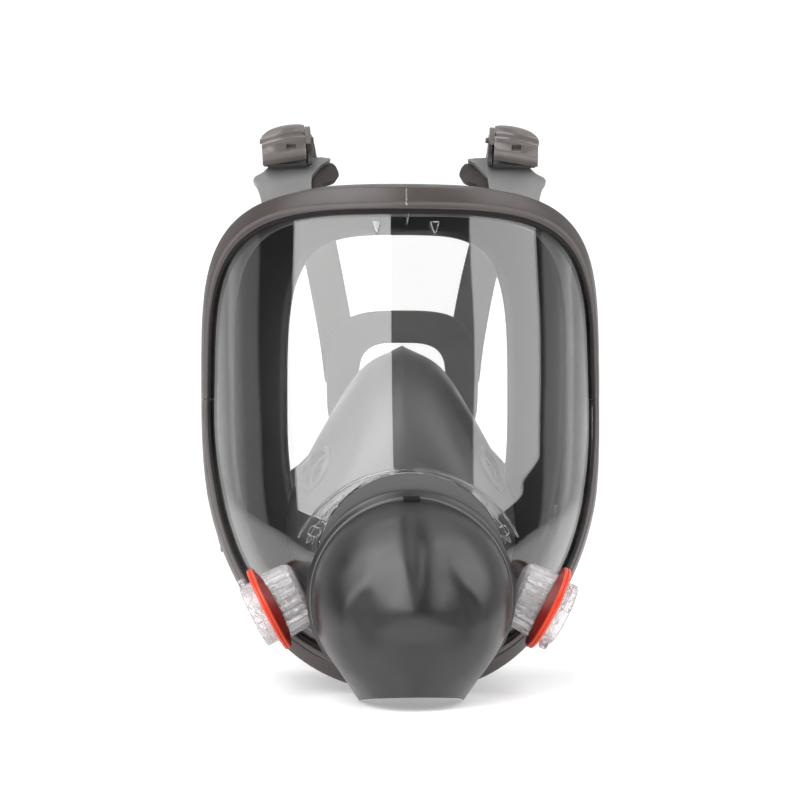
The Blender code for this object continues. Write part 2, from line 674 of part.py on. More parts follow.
def buckle_lever(name, frame):
    """A cam under a domed thumb rest with a flat flap, turning about the pin."""
    outline = []
    for k in range(7):
        turn = math.radians(-110 + 25 * k)
        outline.append((CAM_RADIUS * math.cos(turn), CAM_RADIUS * math.sin(turn)))
    for degrees in (42, 62, 83, 104):
        turn = math.radians(degrees)
        outline.append((DOME_RADIUS * math.cos(turn), DOME_RADIUS * math.sin(turn)))
    outline += [(-4.4, 6.0), (-5.6, 4.6), (-9.2, 2.9), (-11.8, 2.2), (-13.5, 0.5), (-13.5, -0.7), (-12.8, -0.7)]
    outline += [(-12.3, 0.4), (-11.2, 1.0), (-9.4, 1.5), (-6.6, 2.1), (-2.8, 0.7)]
    half = BUCKLE_HALF_WIDTH - CHEEK_THICK - GAP
    obj = add_object("buckle_lever_" + name, extruded_mesh([(v * MM, w * MM) for v, w in outline], half),
                     BUCKLE_MAT, pin_frame(frame))
    along_x = axis_matrix(pin_frame(frame).translation, frame.col[0].to_3d(), frame.col[1].to_3d())
    cut(obj, tool_object("lever_hole_" + name, rod_mesh(PIN_HOLE, -15 * MM, 15 * MM, 16), along_x))


def buckle_pin(name, frame):
    along_x = axis_matrix(pin_frame(frame).translation, frame.col[0].to_3d(), frame.col[1].to_3d())
    length = BUCKLE_HALF_WIDTH + 1.3 * MM
    add_object("buckle_pin_" + name, rod_mesh(PIN_RADIUS, -length, length, 16), STEEL, along_x)


# ---- head harness ----------------------------------------------------------------------------------
STRAP_THICK = 1.6 * MM
PATH_STEPS = 3
CROWN_X = 4.5 * MM
CROWN_Y = 150.0 * MM
CROWN_Z = 127.0 * MM
UPPER_STRAP = ((-48, 98, 236), (-46, 122, 223), (-41, 141, 198), (-35.5, 150, 172), (-31, 151, 147),
               (-28.6, 151, 128))
LOWER_STRAP = ((-68, 134, 65), (-59, 146, 72), (-45, 152, 84), (-32, 152, 98), (-22, 151, 111))


def smooth_path(points, per_span):
    """A Catmull-Rom curve through the points."""
    pts = [points[0]] + list(points) + [points[-1]]
    path = []
    for a, b, c, d in zip(pts, pts[1:], pts[2:], pts[3:]):
        for k in range(per_span):
            t = k / per_span
            path.append(0.5 * (2 * b + (c - a) * t + (2 * a - 5 * b + 4 * c - d) * t**2
                               + (3 * b - a - 3 * c + d) * t**3))
    path.append(points[-1])
    return path


def strap_mesh(path, held, widths, across_start, across_end):
    """A flat strap along the path; its first held sections stay square to the buckle."""
    sections = []
    last = len(path) - 1
    for k, point in enumerate(path):
        tangent = (path[min(k + 1, last)] - path[max(k - 1, 0)]).normalized()
        across = across_start.lerp(across_end, max(k - held, 0) / (last - held))
        across = (across - tangent * across.dot(tangent)).normalized()
        normal = tangent.cross(across)
        half = widths[0] + (widths[1] - widths[0]) * k / last
        corners = ((-half, -1), (half, -1), (half, 1), (-half, 1))
        sections.append([point + across * u + normal * (w * STRAP_THICK / 2) for u, w in corners])
    return loft_mesh(sections, False)


def crown_mesh():
    """The ring at the back of the head: a rounded band around an open middle."""
    sections = []
    for k in range(24):
        turn = math.tau * k / 24
        c, s = math.cos(turn), math.sin(turn)
        x = math.copysign(abs(c) ** 0.6, c)
        z = math.copysign(abs(s) ** 0.6, s)
        inner = Vector((20.5 * MM * x, 0, 18.6 * MM * z))
        outer = Vector((36.0 * MM * x, 0, 34.0 * MM * z))
        inner += Vector((CROWN_X, CROWN_Y, CROWN_Z))
        outer += Vector((CROWN_X, CROWN_Y - 2.0 * MM * abs(c), CROWN_Z))
        half = Vector((0, STRAP_THICK / 2 + 0.3 * MM, 0))
        sections.append([inner - half, outer - half, outer + half, inner + half])
    return loft_mesh(sections, True)


def head_harness():
    obj = add_object("head_harness", crown_mesh(), RUBBER)
    for word, side in SIDES:
        flip = Vector((-side, 1, 1))
        for level, route, across in (("upper", UPPER_STRAP, (1, 0, 0)), ("lower", LOWER_STRAP, (0.35, -0.3, 0.9))):
            frame = BUCKLE_FRAMES["%s_%s" % (level, word)]
            start = [frame @ (Vector((0, v, -0.1)) * MM) for v in (-13.0, -5.0, 3.0, 9.0)]
            points = start + [Vector(p) * MM * flip for p in route]
            for k in range(len(start), len(points)):
                points[k].x += CROWN_X * min((k - 3) / 3, 1.0)
            at_buckle = frame.col[0].to_3d()
            at_crown = Vector(across) * flip
            if at_buckle.dot(at_crown) < 0:
                at_crown.negate()
            path = smooth_path(points, PATH_STEPS)
            held = (len(start) - 1) * PATH_STEPS + 1
            widths = (8.2 * MM, 8.2 * MM if level == "upper" else 6.5 * MM)
            strap = strap_mesh(path, held, widths, at_buckle, at_crown)
            fuse(obj, tool_object("strap_%s_%s" % (level, word), strap))


# ---- assembly --------------------------------------------------------------------------------------
clear_scene()
ROOT = bpy.data.objects.new("respirator", None)
bpy.context.scene.collection.objects.link(ROOT)
ROOT.location.y = -DEPTH_CENTRE

CLEAR = material("clear_polycarbonate", (0.90, 0.92, 0.93), 0.04, transmission=0.9)
FRAME_MAT = material("frame_plastic", (0.145, 0.125, 0.118), 0.42)
RUBBER = material("grey_rubber", (0.20, 0.20, 0.20), 0.60)
CUP_RUBBER = material("cup_rubber", (0.16, 0.16, 0.165), 0.55)
VALVE_RUBBER = material("valve_rubber", (0.42, 0.42, 0.41), 0.50)
DARK_PLASTIC = material("dark_plastic", (0.05, 0.05, 0.052), 0.45)
COVER_MAT = material("cover_plastic", (0.102, 0.100, 0.102), 0.40)
GASKET_MAT = material("red_silicone", (0.60, 0.07, 0.03), 0.45)
BUCKLE_MAT = material("buckle_plastic", (0.22, 0.20, 0.195), 0.35)
STEEL = material("dark_steel", (0.10, 0.10, 0.10), 0.35, metallic=1.0)

STATION_LIST = make_stations()
BUCKLE_FRAMES = buckle_frames()

lens()
half_turn = STATIONS // 2
frame_half("frame_upper", STATION_LIST[:half_turn + 1], 1.0)
frame_half("frame_lower", STATION_LIST[half_turn:] + STATION_LIST[:1], -1.0)
frame_screws()
face_seal()
nose_cup()
center_adapter()
exhalation_valve()
front_cover()
port_pieces()
for buckle_name, buckle_place in BUCKLE_FRAMES.items():
    buckle_body(buckle_name, buckle_place)
    buckle_lever(buckle_name, buckle_place)
    buckle_pin(buckle_name, buckle_place)
head_harness()
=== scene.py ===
import math

import bmesh
import bpy
from mathutils import Matrix, Vector

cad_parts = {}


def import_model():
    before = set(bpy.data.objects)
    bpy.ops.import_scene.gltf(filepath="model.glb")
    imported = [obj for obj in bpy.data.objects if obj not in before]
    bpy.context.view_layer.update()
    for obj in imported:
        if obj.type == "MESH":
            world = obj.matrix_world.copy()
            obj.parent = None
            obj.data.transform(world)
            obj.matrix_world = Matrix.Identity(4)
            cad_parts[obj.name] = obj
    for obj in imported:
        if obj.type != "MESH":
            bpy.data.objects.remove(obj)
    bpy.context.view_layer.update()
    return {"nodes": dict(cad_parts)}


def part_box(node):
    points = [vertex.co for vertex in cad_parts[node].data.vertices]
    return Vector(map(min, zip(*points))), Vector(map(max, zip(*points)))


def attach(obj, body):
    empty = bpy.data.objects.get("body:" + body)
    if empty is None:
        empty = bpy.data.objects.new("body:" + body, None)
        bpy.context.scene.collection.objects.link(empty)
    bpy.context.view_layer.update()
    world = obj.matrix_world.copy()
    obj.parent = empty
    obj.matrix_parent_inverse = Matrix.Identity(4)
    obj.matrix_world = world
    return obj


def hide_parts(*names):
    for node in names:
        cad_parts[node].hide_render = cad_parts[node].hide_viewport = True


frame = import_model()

MM = 0.001

# ---- the CAD's own dimensions, in metres, before the depth shift -----------------------------------
BARREL_BACK = 12.0 * MM
SHIFT = Vector((0.0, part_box("center_adapter")[1].y - BARREL_BACK, 0.0))
LENS_THICK = 2.4 * MM
LENS_DEPTH = 75.0 * MM
LENS_HALF_WIDTH = ((0, 56), (20, 62), (40, 70.5), (60, 78), (80, 82.5), (120, 84.8), (160, 85.6), (220, 86))
LENS_FRONT = ((0, -7), (20, -13), (45, -16), (65, -14), (85, -9), (120, 0), (165, 9), (220, 23))
EDGE_HALF_WIDTH = 83.3 * MM
EDGE_MIDDLE = 119.0 * MM
EDGE_TOP = 202.5 * MM
EDGE_BOTTOM = 6.2 * MM
EDGE_POWER_TOP = 4.15
EDGE_POWER_BOTTOM = 2.3
CENTRE_Z = 52.5 * MM
COLLAR_OUTER = 38.0 * MM
COLLAR_INNER = 35.0 * MM
COLLAR_FRONT = -18.5 * MM
COLLAR_BACK = -1.5 * MM
PORT = Vector((55.0, -6.0, 35.5)) * MM
PORT_DROP = math.radians(27.0)
BOSS_LENGTH = 14.0 * MM
PORT_BORE = 11.0 * MM
BAYONET_RADIUS = 13.2 * MM
BAYONET_LENGTH = 8.5 * MM
SIDES = (("left", -1.0), ("right", 1.0))
STATIONS = 216
CLOUD_SPREAD = 0.12


# ---- node materials ---------------------------------------------------------------------------------
def map_range(tree, value, low, high, start, stop):
    node = tree.nodes.new("ShaderNodeMapRange")
    for socket, number in (("From Min", start), ("From Max", stop), ("To Min", low), ("To Max", high)):
        node.inputs[socket].default_value = number
    tree.links.new(value, node.inputs["Value"])
    return node.outputs["Result"]


class Shader:
    """A Principled material with short ways to add procedural nodes."""

    def __init__(self, name, color, roughness, metallic=0.0):
        self.mat = bpy.data.materials.new(name)
        self.mat.use_nodes = True
        self.nodes = self.mat.node_tree.nodes
        self.links = self.mat.node_tree.links
        self.bsdf = self.nodes["Principled BSDF"]
        self.bsdf.inputs["Base Color"].default_value = (*color, 1.0)
        self.bsdf.inputs["Roughness"].default_value = roughness
        self.bsdf.inputs["Metallic"].default_value = metallic
        self.coords = self.nodes.new("ShaderNodeTexCoord").outputs["Object"]

    def noise(self, scale, detail=4.0, rough=0.55):
        node = self.nodes.new("ShaderNodeTexNoise")
        node.inputs["Scale"].default_value = scale
        node.inputs["Detail"].default_value = detail
        node.inputs["Roughness"].default_value = rough
        self.links.new(self.coords, node.inputs["Vector"])
        return node.outputs["Fac"]

    def remap(self, value, low, high, start=0.3, stop=0.7):
        return map_range(self.mat.node_tree, value, low, high, start, stop)

    def blend(self, factor, first, second):
        """A mix of two colours, each given as numbers or as another node's output."""
        node = self.nodes.new("ShaderNodeMix")
        node.data_type = "RGBA"
        for socket, color in (("A", first), ("B", second)):
            if isinstance(color, tuple):
                node.inputs[socket].default_value = (*color, 1.0)
            else:
                self.links.new(color, node.inputs[socket])
        self.links.new(factor, node.inputs["Factor"])
        return node.outputs["Result"]

    def edges(self, start=0.52, stop=0.60):
        """Where the surface is sharply convex, from Cycles' pointiness."""
        node = self.nodes.new("ShaderNodeNewGeometry")
        return self.remap(node.outputs["Pointiness"], 0.0, 1.0, start, stop)

    def bump(self, height, strength, distance):
        node = self.nodes.new("ShaderNodeBump")
        node.inputs["Strength"].default_value = strength
        node.inputs["Distance"].default_value = distance
        self.links.new(height, node.inputs["Height"])
        self.links.new(node.outputs["Normal"], self.bsdf.inputs["Normal"])

    def use(self, output, socket):
        self.links.new(output, self.bsdf.inputs[socket])


def moulded(name, color, roughness, edge_wear_and_highlight=None, grain=900.0, grain_depth=0.05 * MM, specular=0.5, metallic=0.0):
    """Moulded plastic or rubber: fine surface grain, cloudy colour and gloss, edges lighter, partly wear and
    partly a painted highlight.
    """
    shader = Shader(name, color, roughness, metallic)
    shader.bsdf.inputs["Specular IOR Level"].default_value = specular
    dark = tuple(c * (1 - CLOUD_SPREAD) for c in color)
    light = tuple(min(c * (1 + CLOUD_SPREAD), 1.0) for c in color)
    tone = shader.blend(shader.remap(shader.noise(38.0, 5.0), 0.0, 1.0), dark, light)
    # Lighter colour on sharply convex edges: partly wear, partly a painted edge highlight.
    if edge_wear_and_highlight is not None:
        tone = shader.blend(shader.edges(), tone, edge_wear_and_highlight)
    shader.use(tone, "Base Color")
    shader.use(shader.remap(shader.noise(120.0, 3.0), roughness * 0.86, roughness * 1.16), "Roughness")
    shader.bump(shader.noise(grain, 3.0), 0.35, grain_depth)
    return shader.mat


def clear_plastic(name, tint, roughness, ripple):
    """Clear polycarbonate that lets light straight through to what is behind it."""
    shader = Shader(name, tint, roughness)
    shader.bsdf.inputs["Transmission Weight"].default_value = 1.0
    shader.bsdf.inputs["IOR"].default_value = 1.58
    shader.use(shader.remap(shader.noise(24.0, 5.0), roughness, roughness * 2.2), "Roughness")
    shader.bump(shader.noise(9.0, 1.0), ripple, 0.4 * MM)
    path = shader.nodes.new("ShaderNodeLightPath")
    through = shader.nodes.new("ShaderNodeBsdfTransparent")
    through.inputs["Color"].default_value = (0.93, 0.93, 0.93, 1.0)
    mix = shader.nodes.new("ShaderNodeMixShader")
    shader.links.new(path.outputs["Is Shadow Ray"], mix.inputs["Fac"])
    shader.links.new(shader.bsdf.outputs["BSDF"], mix.inputs[1])
    shader.links.new(through.outputs["BSDF"], mix.inputs[2])
    shader.links.new(mix.outputs["Shader"], shader.nodes["Material Output"].inputs["Surface"])
    return shader.mat


def frosted_plastic(name):
    """Thick moulded clear plastic: glassy, milky where it is fluted and crazed with fine flow marks."""
    shader = Shader(name, (0.97, 0.945, 0.95), 0.10)
    shader.bsdf.inputs["Transmission Weight"].default_value = 0.80
    shader.bsdf.inputs["IOR"].default_value = 1.52
    shader.use(shader.remap(shader.noise(160.0, 4.0), 0.02, 0.20), "Roughness")
    shader.bump(shader.noise(300.0, 3.0), 0.8, 1.0 * MM)
    return shader.mat


FROST = frosted_plastic("moulded_clear_plastic")
CLEAR = clear_plastic("clear_polycarbonate", (0.985, 0.975, 0.975), 0.012, 0.02)
FRAME_MAT = moulded("frame_plastic", (0.052, 0.042, 0.040), 0.34, edge_wear_and_highlight=(0.11, 0.098, 0.094))
# Near-black: painted shadow on the frame's inner lip, where the seal's edge lies in shade.
LIP_MAT = moulded("frame_lip_rubber", (0.007, 0.005, 0.005), 0.60, specular=0.25)
# Painted shade: the seal is the same rubber as the tabs, but its colour is darkened for the shade it lies in
# behind the visor.
SEAL_SHADED_MAT = moulded("seal_rubber", (0.045, 0.045, 0.045), 0.46, grain=700.0)
TAB_MAT = moulded("seal_tab_rubber", (0.185, 0.188, 0.185), 0.50, grain=700.0, edge_wear_and_highlight=(0.28, 0.28, 0.28))
# Painted shade: near-black colour for the sheet under each upper tab's inner end, standing in for its shadow.
TAB_SHADE_MAT = moulded("seal_tab_shade_sheet", (0.018, 0.013, 0.012), 0.60, grain=500.0)
CUP_MAT = moulded("cup_rubber", (0.052, 0.052, 0.052), 0.36, grain=800.0)
VALVE_MAT = moulded("valve_rubber", (0.42, 0.42, 0.41), 0.42)
DARK_MAT = moulded("dark_plastic", (0.035, 0.034, 0.035), 0.40, edge_wear_and_highlight=(0.09, 0.088, 0.088))
COVER_MAT = moulded("cover_plastic", (0.013, 0.012, 0.0122), 0.33, grain=1100.0, grain_depth=0.015 * MM,
                    specular=0.66)
# Painted highlight: the bead's colour is far lighter than the cover's, so that it shows as a light line.
BEAD_HIGHLIGHT_MAT = moulded("cover_bead_painted_highlight", (0.10, 0.097, 0.098), 0.22, grain=1100.0)
GASKET_MAT = moulded("red_silicone", (0.70, 0.055, 0.018), 0.34, grain=600.0)
# Painted shade: a darker copy of the red silicone for the gasket's shaded inner face.
GASKET_SHADE_MAT = moulded("red_silicone_painted_shade", (0.17, 0.007, 0.004), 0.45, grain=600.0)
BUCKLE_MAT = moulded("buckle_plastic", (0.115, 0.100, 0.096), 0.20, edge_wear_and_highlight=(0.26, 0.24, 0.23))
# Painted shade: the buckle body is darkened for the shadow under the lever's lip.
BUCKLE_SHADE_MAT = moulded("buckle_body_painted_shade", (0.040, 0.035, 0.034), 0.35, edge_wear_and_highlight=(0.10, 0.09, 0.088))
HARNESS_MAT = moulded("harness_rubber", (0.085, 0.085, 0.084), 0.50, grain=650.0)
STEEL_MAT = moulded("dark_steel", (0.045, 0.045, 0.047), 0.30, (0.2, 0.2, 0.2), grain=500.0, metallic=0.9)


# ---- curves and the visor's surface -----------------------------------------------------------------
def table_value(table, at):
    """The CAD's smooth curve through (position, value) pairs in millimetres."""
    at = min(max(at / MM, table[0][0]), table[-1][0])
    last = len(table) - 2
    i = min(max(k for k in range(last + 1) if table[k][0] <= at), last)
    (x0, y0), (x1, y1) = table[i], table[i + 1]
    xa, ya = table[max(i - 1, 0)]
    xb, yb = table[min(i + 2, last + 1)]
    slope0 = (y1 - ya) / (x1 - xa)
    slope1 = (yb - y0) / (xb - x0)
    t = (at - x0) / (x1 - x0)
    span = x1 - x0
    value = (2 * t**3 - 3 * t**2 + 1) * y0 + (t**3 - 2 * t**2 + t) * span * slope0
    value += (3 * t**2 - 2 * t**3) * y1 + (t**3 - t**2) * span * slope1
    return value * MM


def curve_through(points, steps):
    """A Catmull-Rom curve through the points, with steps points to a span."""
    pts = [2 * points[0] - points[1]] + list(points) + [2 * points[-1] - points[-2]]
    out = []
    for a, b, c, d in zip(pts, pts[1:], pts[2:], pts[3:]):
        for k in range(steps):
            t = k / steps
            out.append(0.5 * (2 * b + (c - a) * t + (2 * a - 5 * b + 4 * c - d) * t**2
                              + (3 * b - a - 3 * c + d) * t**3))
    out.append(points[-1].copy())
    return out


def smooth_step(value, start, stop):
    """0 before start and 1 after stop, with a soft rise between them."""
    t = min(max((value - start) / (stop - start), 0.0), 1.0)
    return t * t * (3 - 2 * t)


def lens_point(x, z):
    """The visor's outer face: half an ellipse at each height, pushed forward or back."""
    ratio = min(abs(x) / table_value(LENS_HALF_WIDTH, z), 0.999)
    depth = LENS_DEPTH * (1.0 - math.sqrt(1.0 - ratio * ratio))
    return Vector((x, table_value(LENS_FRONT, z) + depth, z))


def lens_normal(x, z):
    step = 0.2 * MM
    along_x = lens_point(x + step, z) - lens_point(x - step, z)
    along_z = lens_point(x, z + step) - lens_point(x, z - step)
    return along_x.cross(along_z).normalized()


def wrap_angle(x, z):
    """How far round the ellipse a point at x lies, from the visor's middle line."""
    return math.asin(x / table_value(LENS_HALF_WIDTH, z))


def edge_outline(angle):
    """The visor's edge seen from the front, squarer above its middle than below."""
    upper = math.sin(angle) >= 0
    power = EDGE_POWER_TOP if upper else EDGE_POWER_BOTTOM
    height = EDGE_TOP - EDGE_MIDDLE if upper else EDGE_MIDDLE - EDGE_BOTTOM
    x = EDGE_HALF_WIDTH * math.copysign(abs(math.cos(angle)) ** (2 / power), math.cos(angle))
    z = EDGE_MIDDLE + height * math.copysign(abs(math.sin(angle)) ** (2 / power), math.sin(angle))
    return x, z


def even_angles(start, stop, count):
    """Outline angles that space the visor's edge evenly between two of its quarter points."""
    fine = 900
    angles = [start + (stop - start) * k / fine for k in range(fine + 1)]
    points = [lens_point(*edge_outline(a)) for a in angles]
    lengths = [0.0]
    for a, b in zip(points, points[1:]):
        lengths.append(lengths[-1] + (b - a).length)
    picked = []
    k = 0
    for n in range(count):
        target = lengths[-1] * n / count
        while lengths[k + 1] < target:
            k += 1
        share = (target - lengths[k]) / max(lengths[k + 1] - lengths[k], 1e-12)
        picked.append(angles[k] + (angles[k + 1] - angles[k]) * share)
    return picked


class Station:
    """A point of the visor's edge with the surface normal and the outward direction in the surface."""

    def __init__(self, angle):
        self.x, self.z = edge_outline(angle)
        self.point = lens_point(self.x, self.z)
        self.normal = lens_normal(self.x, self.z)
        step = 1e-3
        tangent = lens_point(*edge_outline(angle + step)) - lens_point(*edge_outline(angle - step))
        self.out = tangent.cross(self.normal).normalized()
        wide = abs(self.x) > 0.9 * EDGE_HALF_WIDTH
        if (self.out.y < 0) if wide else (self.out.dot(Vector((self.x, 0, self.z - EDGE_MIDDLE))) < 0):
            self.out.negate()

    def at(self, out, normal):
        return self.point + self.out * out + self.normal * normal


RING = []
for quarter in range(4):
    first = math.pi / 2 * quarter
    RING += [Station(a) for a in even_angles(first, first + math.pi / 2, STATIONS // 4)]
HALF = STATIONS // 2


# ---- mesh helpers ---------------------------------------------------------------------------------
def placed_object(name, bm, matrix):
    """An object from a bmesh with its faces turned out, moved to the row frame."""
    bmesh.ops.recalc_face_normals(bm, faces=bm.faces)
    if matrix is not None:
        bmesh.ops.transform(bm, matrix=matrix, verts=bm.verts)
    bmesh.ops.translate(bm, vec=SHIFT, verts=bm.verts)
    mesh = bpy.data.meshes.new(name)
    bm.to_mesh(mesh)
    bm.free()
    obj = bpy.data.objects.new(name, mesh)
    bpy.context.scene.collection.objects.link(obj)
    return obj


def piece(name, bm, mats, body="root", replaces=(), matrix=None):
    """A finished piece, riding on its body."""
    obj = placed_object(name, bm, matrix)
    obj.data.shade_smooth()
    obj.data.set_sharp_from_angle(angle=math.radians(40))
    for mat in mats:
        obj.data.materials.append(mat)
    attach(obj, body)
    if replaces:
        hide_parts(*replaces)
    return obj


def tool(name, bm, matrix=None):
    """A guide solid for a Boolean; it is removed once the Boolean is applied."""
    return placed_object(name, bm, matrix)


def apply_modifiers(obj):
    graph = bpy.context.evaluated_depsgraph_get()
    mesh = bpy.data.meshes.new_from_object(obj.evaluated_get(graph))
    old = obj.data
    obj.modifiers.clear()
    obj.data = mesh
    bpy.data.meshes.remove(old)


def boolean(obj, operations):
    """Applies (operation, tool) pairs in turn and drops the tools."""
    for operation, operand in operations:
        mod = obj.modifiers.new("boolean", "BOOLEAN")
        mod.operation = operation
        mod.solver = "MANIFOLD"
        mod.object = operand
        apply_modifiers(obj)
        bpy.data.objects.remove(operand, do_unlink=True)
    obj.data.shade_smooth()
    obj.data.set_sharp_from_angle(angle=math.radians(35))


def solidify(obj, thickness, offset=0.0):
    mod = obj.modifiers.new("wall", "SOLIDIFY")
    mod.thickness = thickness
    mod.offset = offset
    mod.use_even_offset = True
    mod.use_rim = True
    return mod


def bevel(obj, width, segments=3, angle=35):
    mod = obj.modifiers.new("edge", "BEVEL")
    mod.width = width
    mod.segments = segments
    mod.limit_method = "ANGLE"
    mod.angle_limit = math.radians(angle)
    mod.harden_normals = False
    return mod


def oval(middle, first, second, count):
    """The points of an oval whose half axes are two vectors."""
    turns = [math.tau * n / count for n in range(count)]
    return [middle + first * math.cos(turn) + second * math.sin(turn) for turn in turns]


def grid_mesh(rows, closed, bm=None):
    """Quads between rows of points, added to bm where there is one."""
    bm = bm or bmesh.new()
    verts = [[bm.verts.new(p) for p in row] for row in rows]
    count = len(verts)
    for i in range(count if closed else count - 1):
        a, b = verts[i], verts[(i + 1) % count]
        for j in range(len(a) - 1):
            bm.faces.new((a[j], a[j + 1], b[j + 1], b[j]))
    return bm


def loft_mesh(sections, closed, material_of=None):
    """A solid through closed sections; material_of picks a slot for each side of the section."""
    bm = bmesh.new()
    loops = [[bm.verts.new(p) for p in section] for section in sections]
    size = len(loops[0])
    count = len(loops)
    for i in range(count if closed else count - 1):
        a, b = loops[i], loops[(i + 1) % count]
        for j in range(size):
            k = (j + 1) % size
            face = bm.faces.new((a[j], a[k], b[k], b[j]))
            if material_of:
                face.material_index = material_of(j)
    if not closed:
        bm.faces.new(loops[0])
        bm.faces.new(loops[-1])
    return bm


def turned_mesh(profile, steps=96):
    """A closed (radius, height) profile spun about local Z."""
    bm = bmesh.new()
    verts = [bm.verts.new((r, 0.0, h)) for r, h in profile]
    edges = [bm.edges.new((a, b)) for a, b in zip(verts, verts[1:])]
    if min(r for r, h in profile) > 1e-6:
        edges.append(bm.edges.new((verts[-1], verts[0])))
    bmesh.ops.spin(bm, geom=verts + edges, axis=(0, 0, 1), cent=(0, 0, 0), steps=steps, angle=math.tau)
    bmesh.ops.remove_doubles(bm, verts=bm.verts, dist=1e-6)
    return bm


def rod_mesh(radius, low, high, steps=64):
    return turned_mesh([(0, low), (radius, low), (radius, high), (0, high)], steps)


def box_mesh(low, high):
    bm = bmesh.new()
    bmesh.ops.create_cube(bm, size=1.0)
    size = Vector(high) - Vector(low)
    centre = (Vector(high) + Vector(low)) / 2
    bmesh.ops.transform(bm, matrix=Matrix.Translation(centre) @ Matrix.Diagonal((*size, 1.0)), verts=bm.verts)
    return bm


def extruded_mesh(outline, half_width):
    """A (v, w) outline in millimetres, extruded along local X."""
    return loft_mesh([[(x, v * MM, w * MM) for v, w in outline] for x in (-half_width, half_width)], False)


def axes_matrix(origin, x_axis, y_axis, z_axis):
    matrix = Matrix((x_axis, y_axis, z_axis)).transposed().to_4x4()
    matrix.translation = origin
    return matrix


def axis_matrix(origin, direction, across=Vector((0, 1, 0))):
    """A frame whose Z runs along direction and whose X lies towards across."""
    z_axis = Vector(direction).normalized()
    x_axis = (across - z_axis * across.dot(z_axis)).normalized()
    return axes_matrix(origin, x_axis, z_axis.cross(x_axis), z_axis)


def arc(centre, radius, start, stop, count):
    """Points of an arc in (v, w), angles in degrees."""
    points = []
    for k in range(count + 1):
        turn = math.radians(start + (stop - start) * k / count)
        points.append((centre[0] + radius * math.cos(turn), centre[1] + radius * math.sin(turn)))
    return points


# ---- visor ------------------------------------------------------------------------------------------
GASKET_RING = (
    (13.5, 0.35), (14.4, -0.2), (14.4, -2.9), (14.9, -3.1), (15.5, -2.9), (17.2, 0.2), (17.8, 0.7),
    (17.8, 1.2), (17.4, 1.5), (17.8, 1.8), (17.8, 2.4), (17.4, 2.8), (14.0, 2.8), (13.5, 2.4),
)
GASKET_FACE = 0.25 * MM
# name, middle, half width, top and tip of each lug in millimetres
VISOR_LUGS = (
    ("left", -12.6, 1.9, 192.5, 187.6),
    ("right", 11.6, 1.9, 192.5, 187.6),
    ("middle", 0.3, 0.8, 197.0, 191.6),
)


def port_matrix(side):
    """A cheek port's frame: Z runs outwards and down along its axis, X towards the back."""
    direction = Vector((side * math.cos(PORT_DROP), 0, -math.sin(PORT_DROP)))
    return axis_matrix(Vector((side * PORT.x, PORT.y, PORT.z)), direction)


def fluted_barrel():
    """The cheek port's body: a fluted barrel behind the gasket and the bayonet tube in front of it."""
    bm = bmesh.new()
    around, flutes, flute_depth = 192, 24, 1.0 * MM
    rows = [(0.0, -BOSS_LENGTH, 0.0), (11.2, -BOSS_LENGTH, 0.0), (12.4, -BOSS_LENGTH + 1.0 * MM, 0.3)]
    rows += [(13.3, -BOSS_LENGTH + 2.4 * MM, 1.0), (13.7, -8.0 * MM, 1.0), (14.0, -3.0 * MM, 1.0)]
    rows += [(14.0, -0.6 * MM, 0.2), (13.6, 0.0, 0.0), (13.2, 0.2 * MM, 0.0)]
    rows += [(13.2, BAYONET_LENGTH - 0.5 * MM, 0.0), (12.7, BAYONET_LENGTH, 0.0), (0.0, BAYONET_LENGTH, 0.0)]
    loops = []
    for radius, height, depth in rows:
        if radius == 0.0:
            loops.append([bm.verts.new((0, 0, height))])
            continue
        loop = []
        for turn in (math.tau * k / around for k in range(around)):
            r = radius * MM - flute_depth * depth * (0.5 + 0.5 * math.cos(turn * flutes)) ** 2
            loop.append(bm.verts.new((r * math.cos(turn), r * math.sin(turn), height)))
        loops.append(loop)
    for a, b in zip(loops, loops[1:]):
        for k in range(around):
            n = (k + 1) % around
            if len(a) == 1:
                bm.faces.new((a[0], b[n], b[k]))
            elif len(b) == 1:
                bm.faces.new((a[k], a[n], b[0]))
            else:
                bm.faces.new((a[k], a[n], b[n], b[k]))
    return bm


def bayonet_lug():
    """One of the three lugs that a filter locks behind, with softened edges and ends."""
    inner, outer = BAYONET_RADIUS - 0.8 * MM, BAYONET_RADIUS + 2.7 * MM
    low, high = 5.2 * MM, 7.6 * MM
    sections = []
    for k in range(13):
        turn = math.radians(-21 + 3.5 * k)
        c, s = math.cos(turn), math.sin(turn)
        edge = outer - (0.6 * MM if k in (0, 12) else 0.0)
        profile = ((inner, low), (edge - 0.3 * MM, low), (edge, low + 0.3 * MM), (edge, high - 0.3 * MM),
                   (edge - 0.3 * MM, high), (inner, high))
        sections.append([(r * c, r * s, h) for r, h in profile])
    return loft_mesh(sections, False)


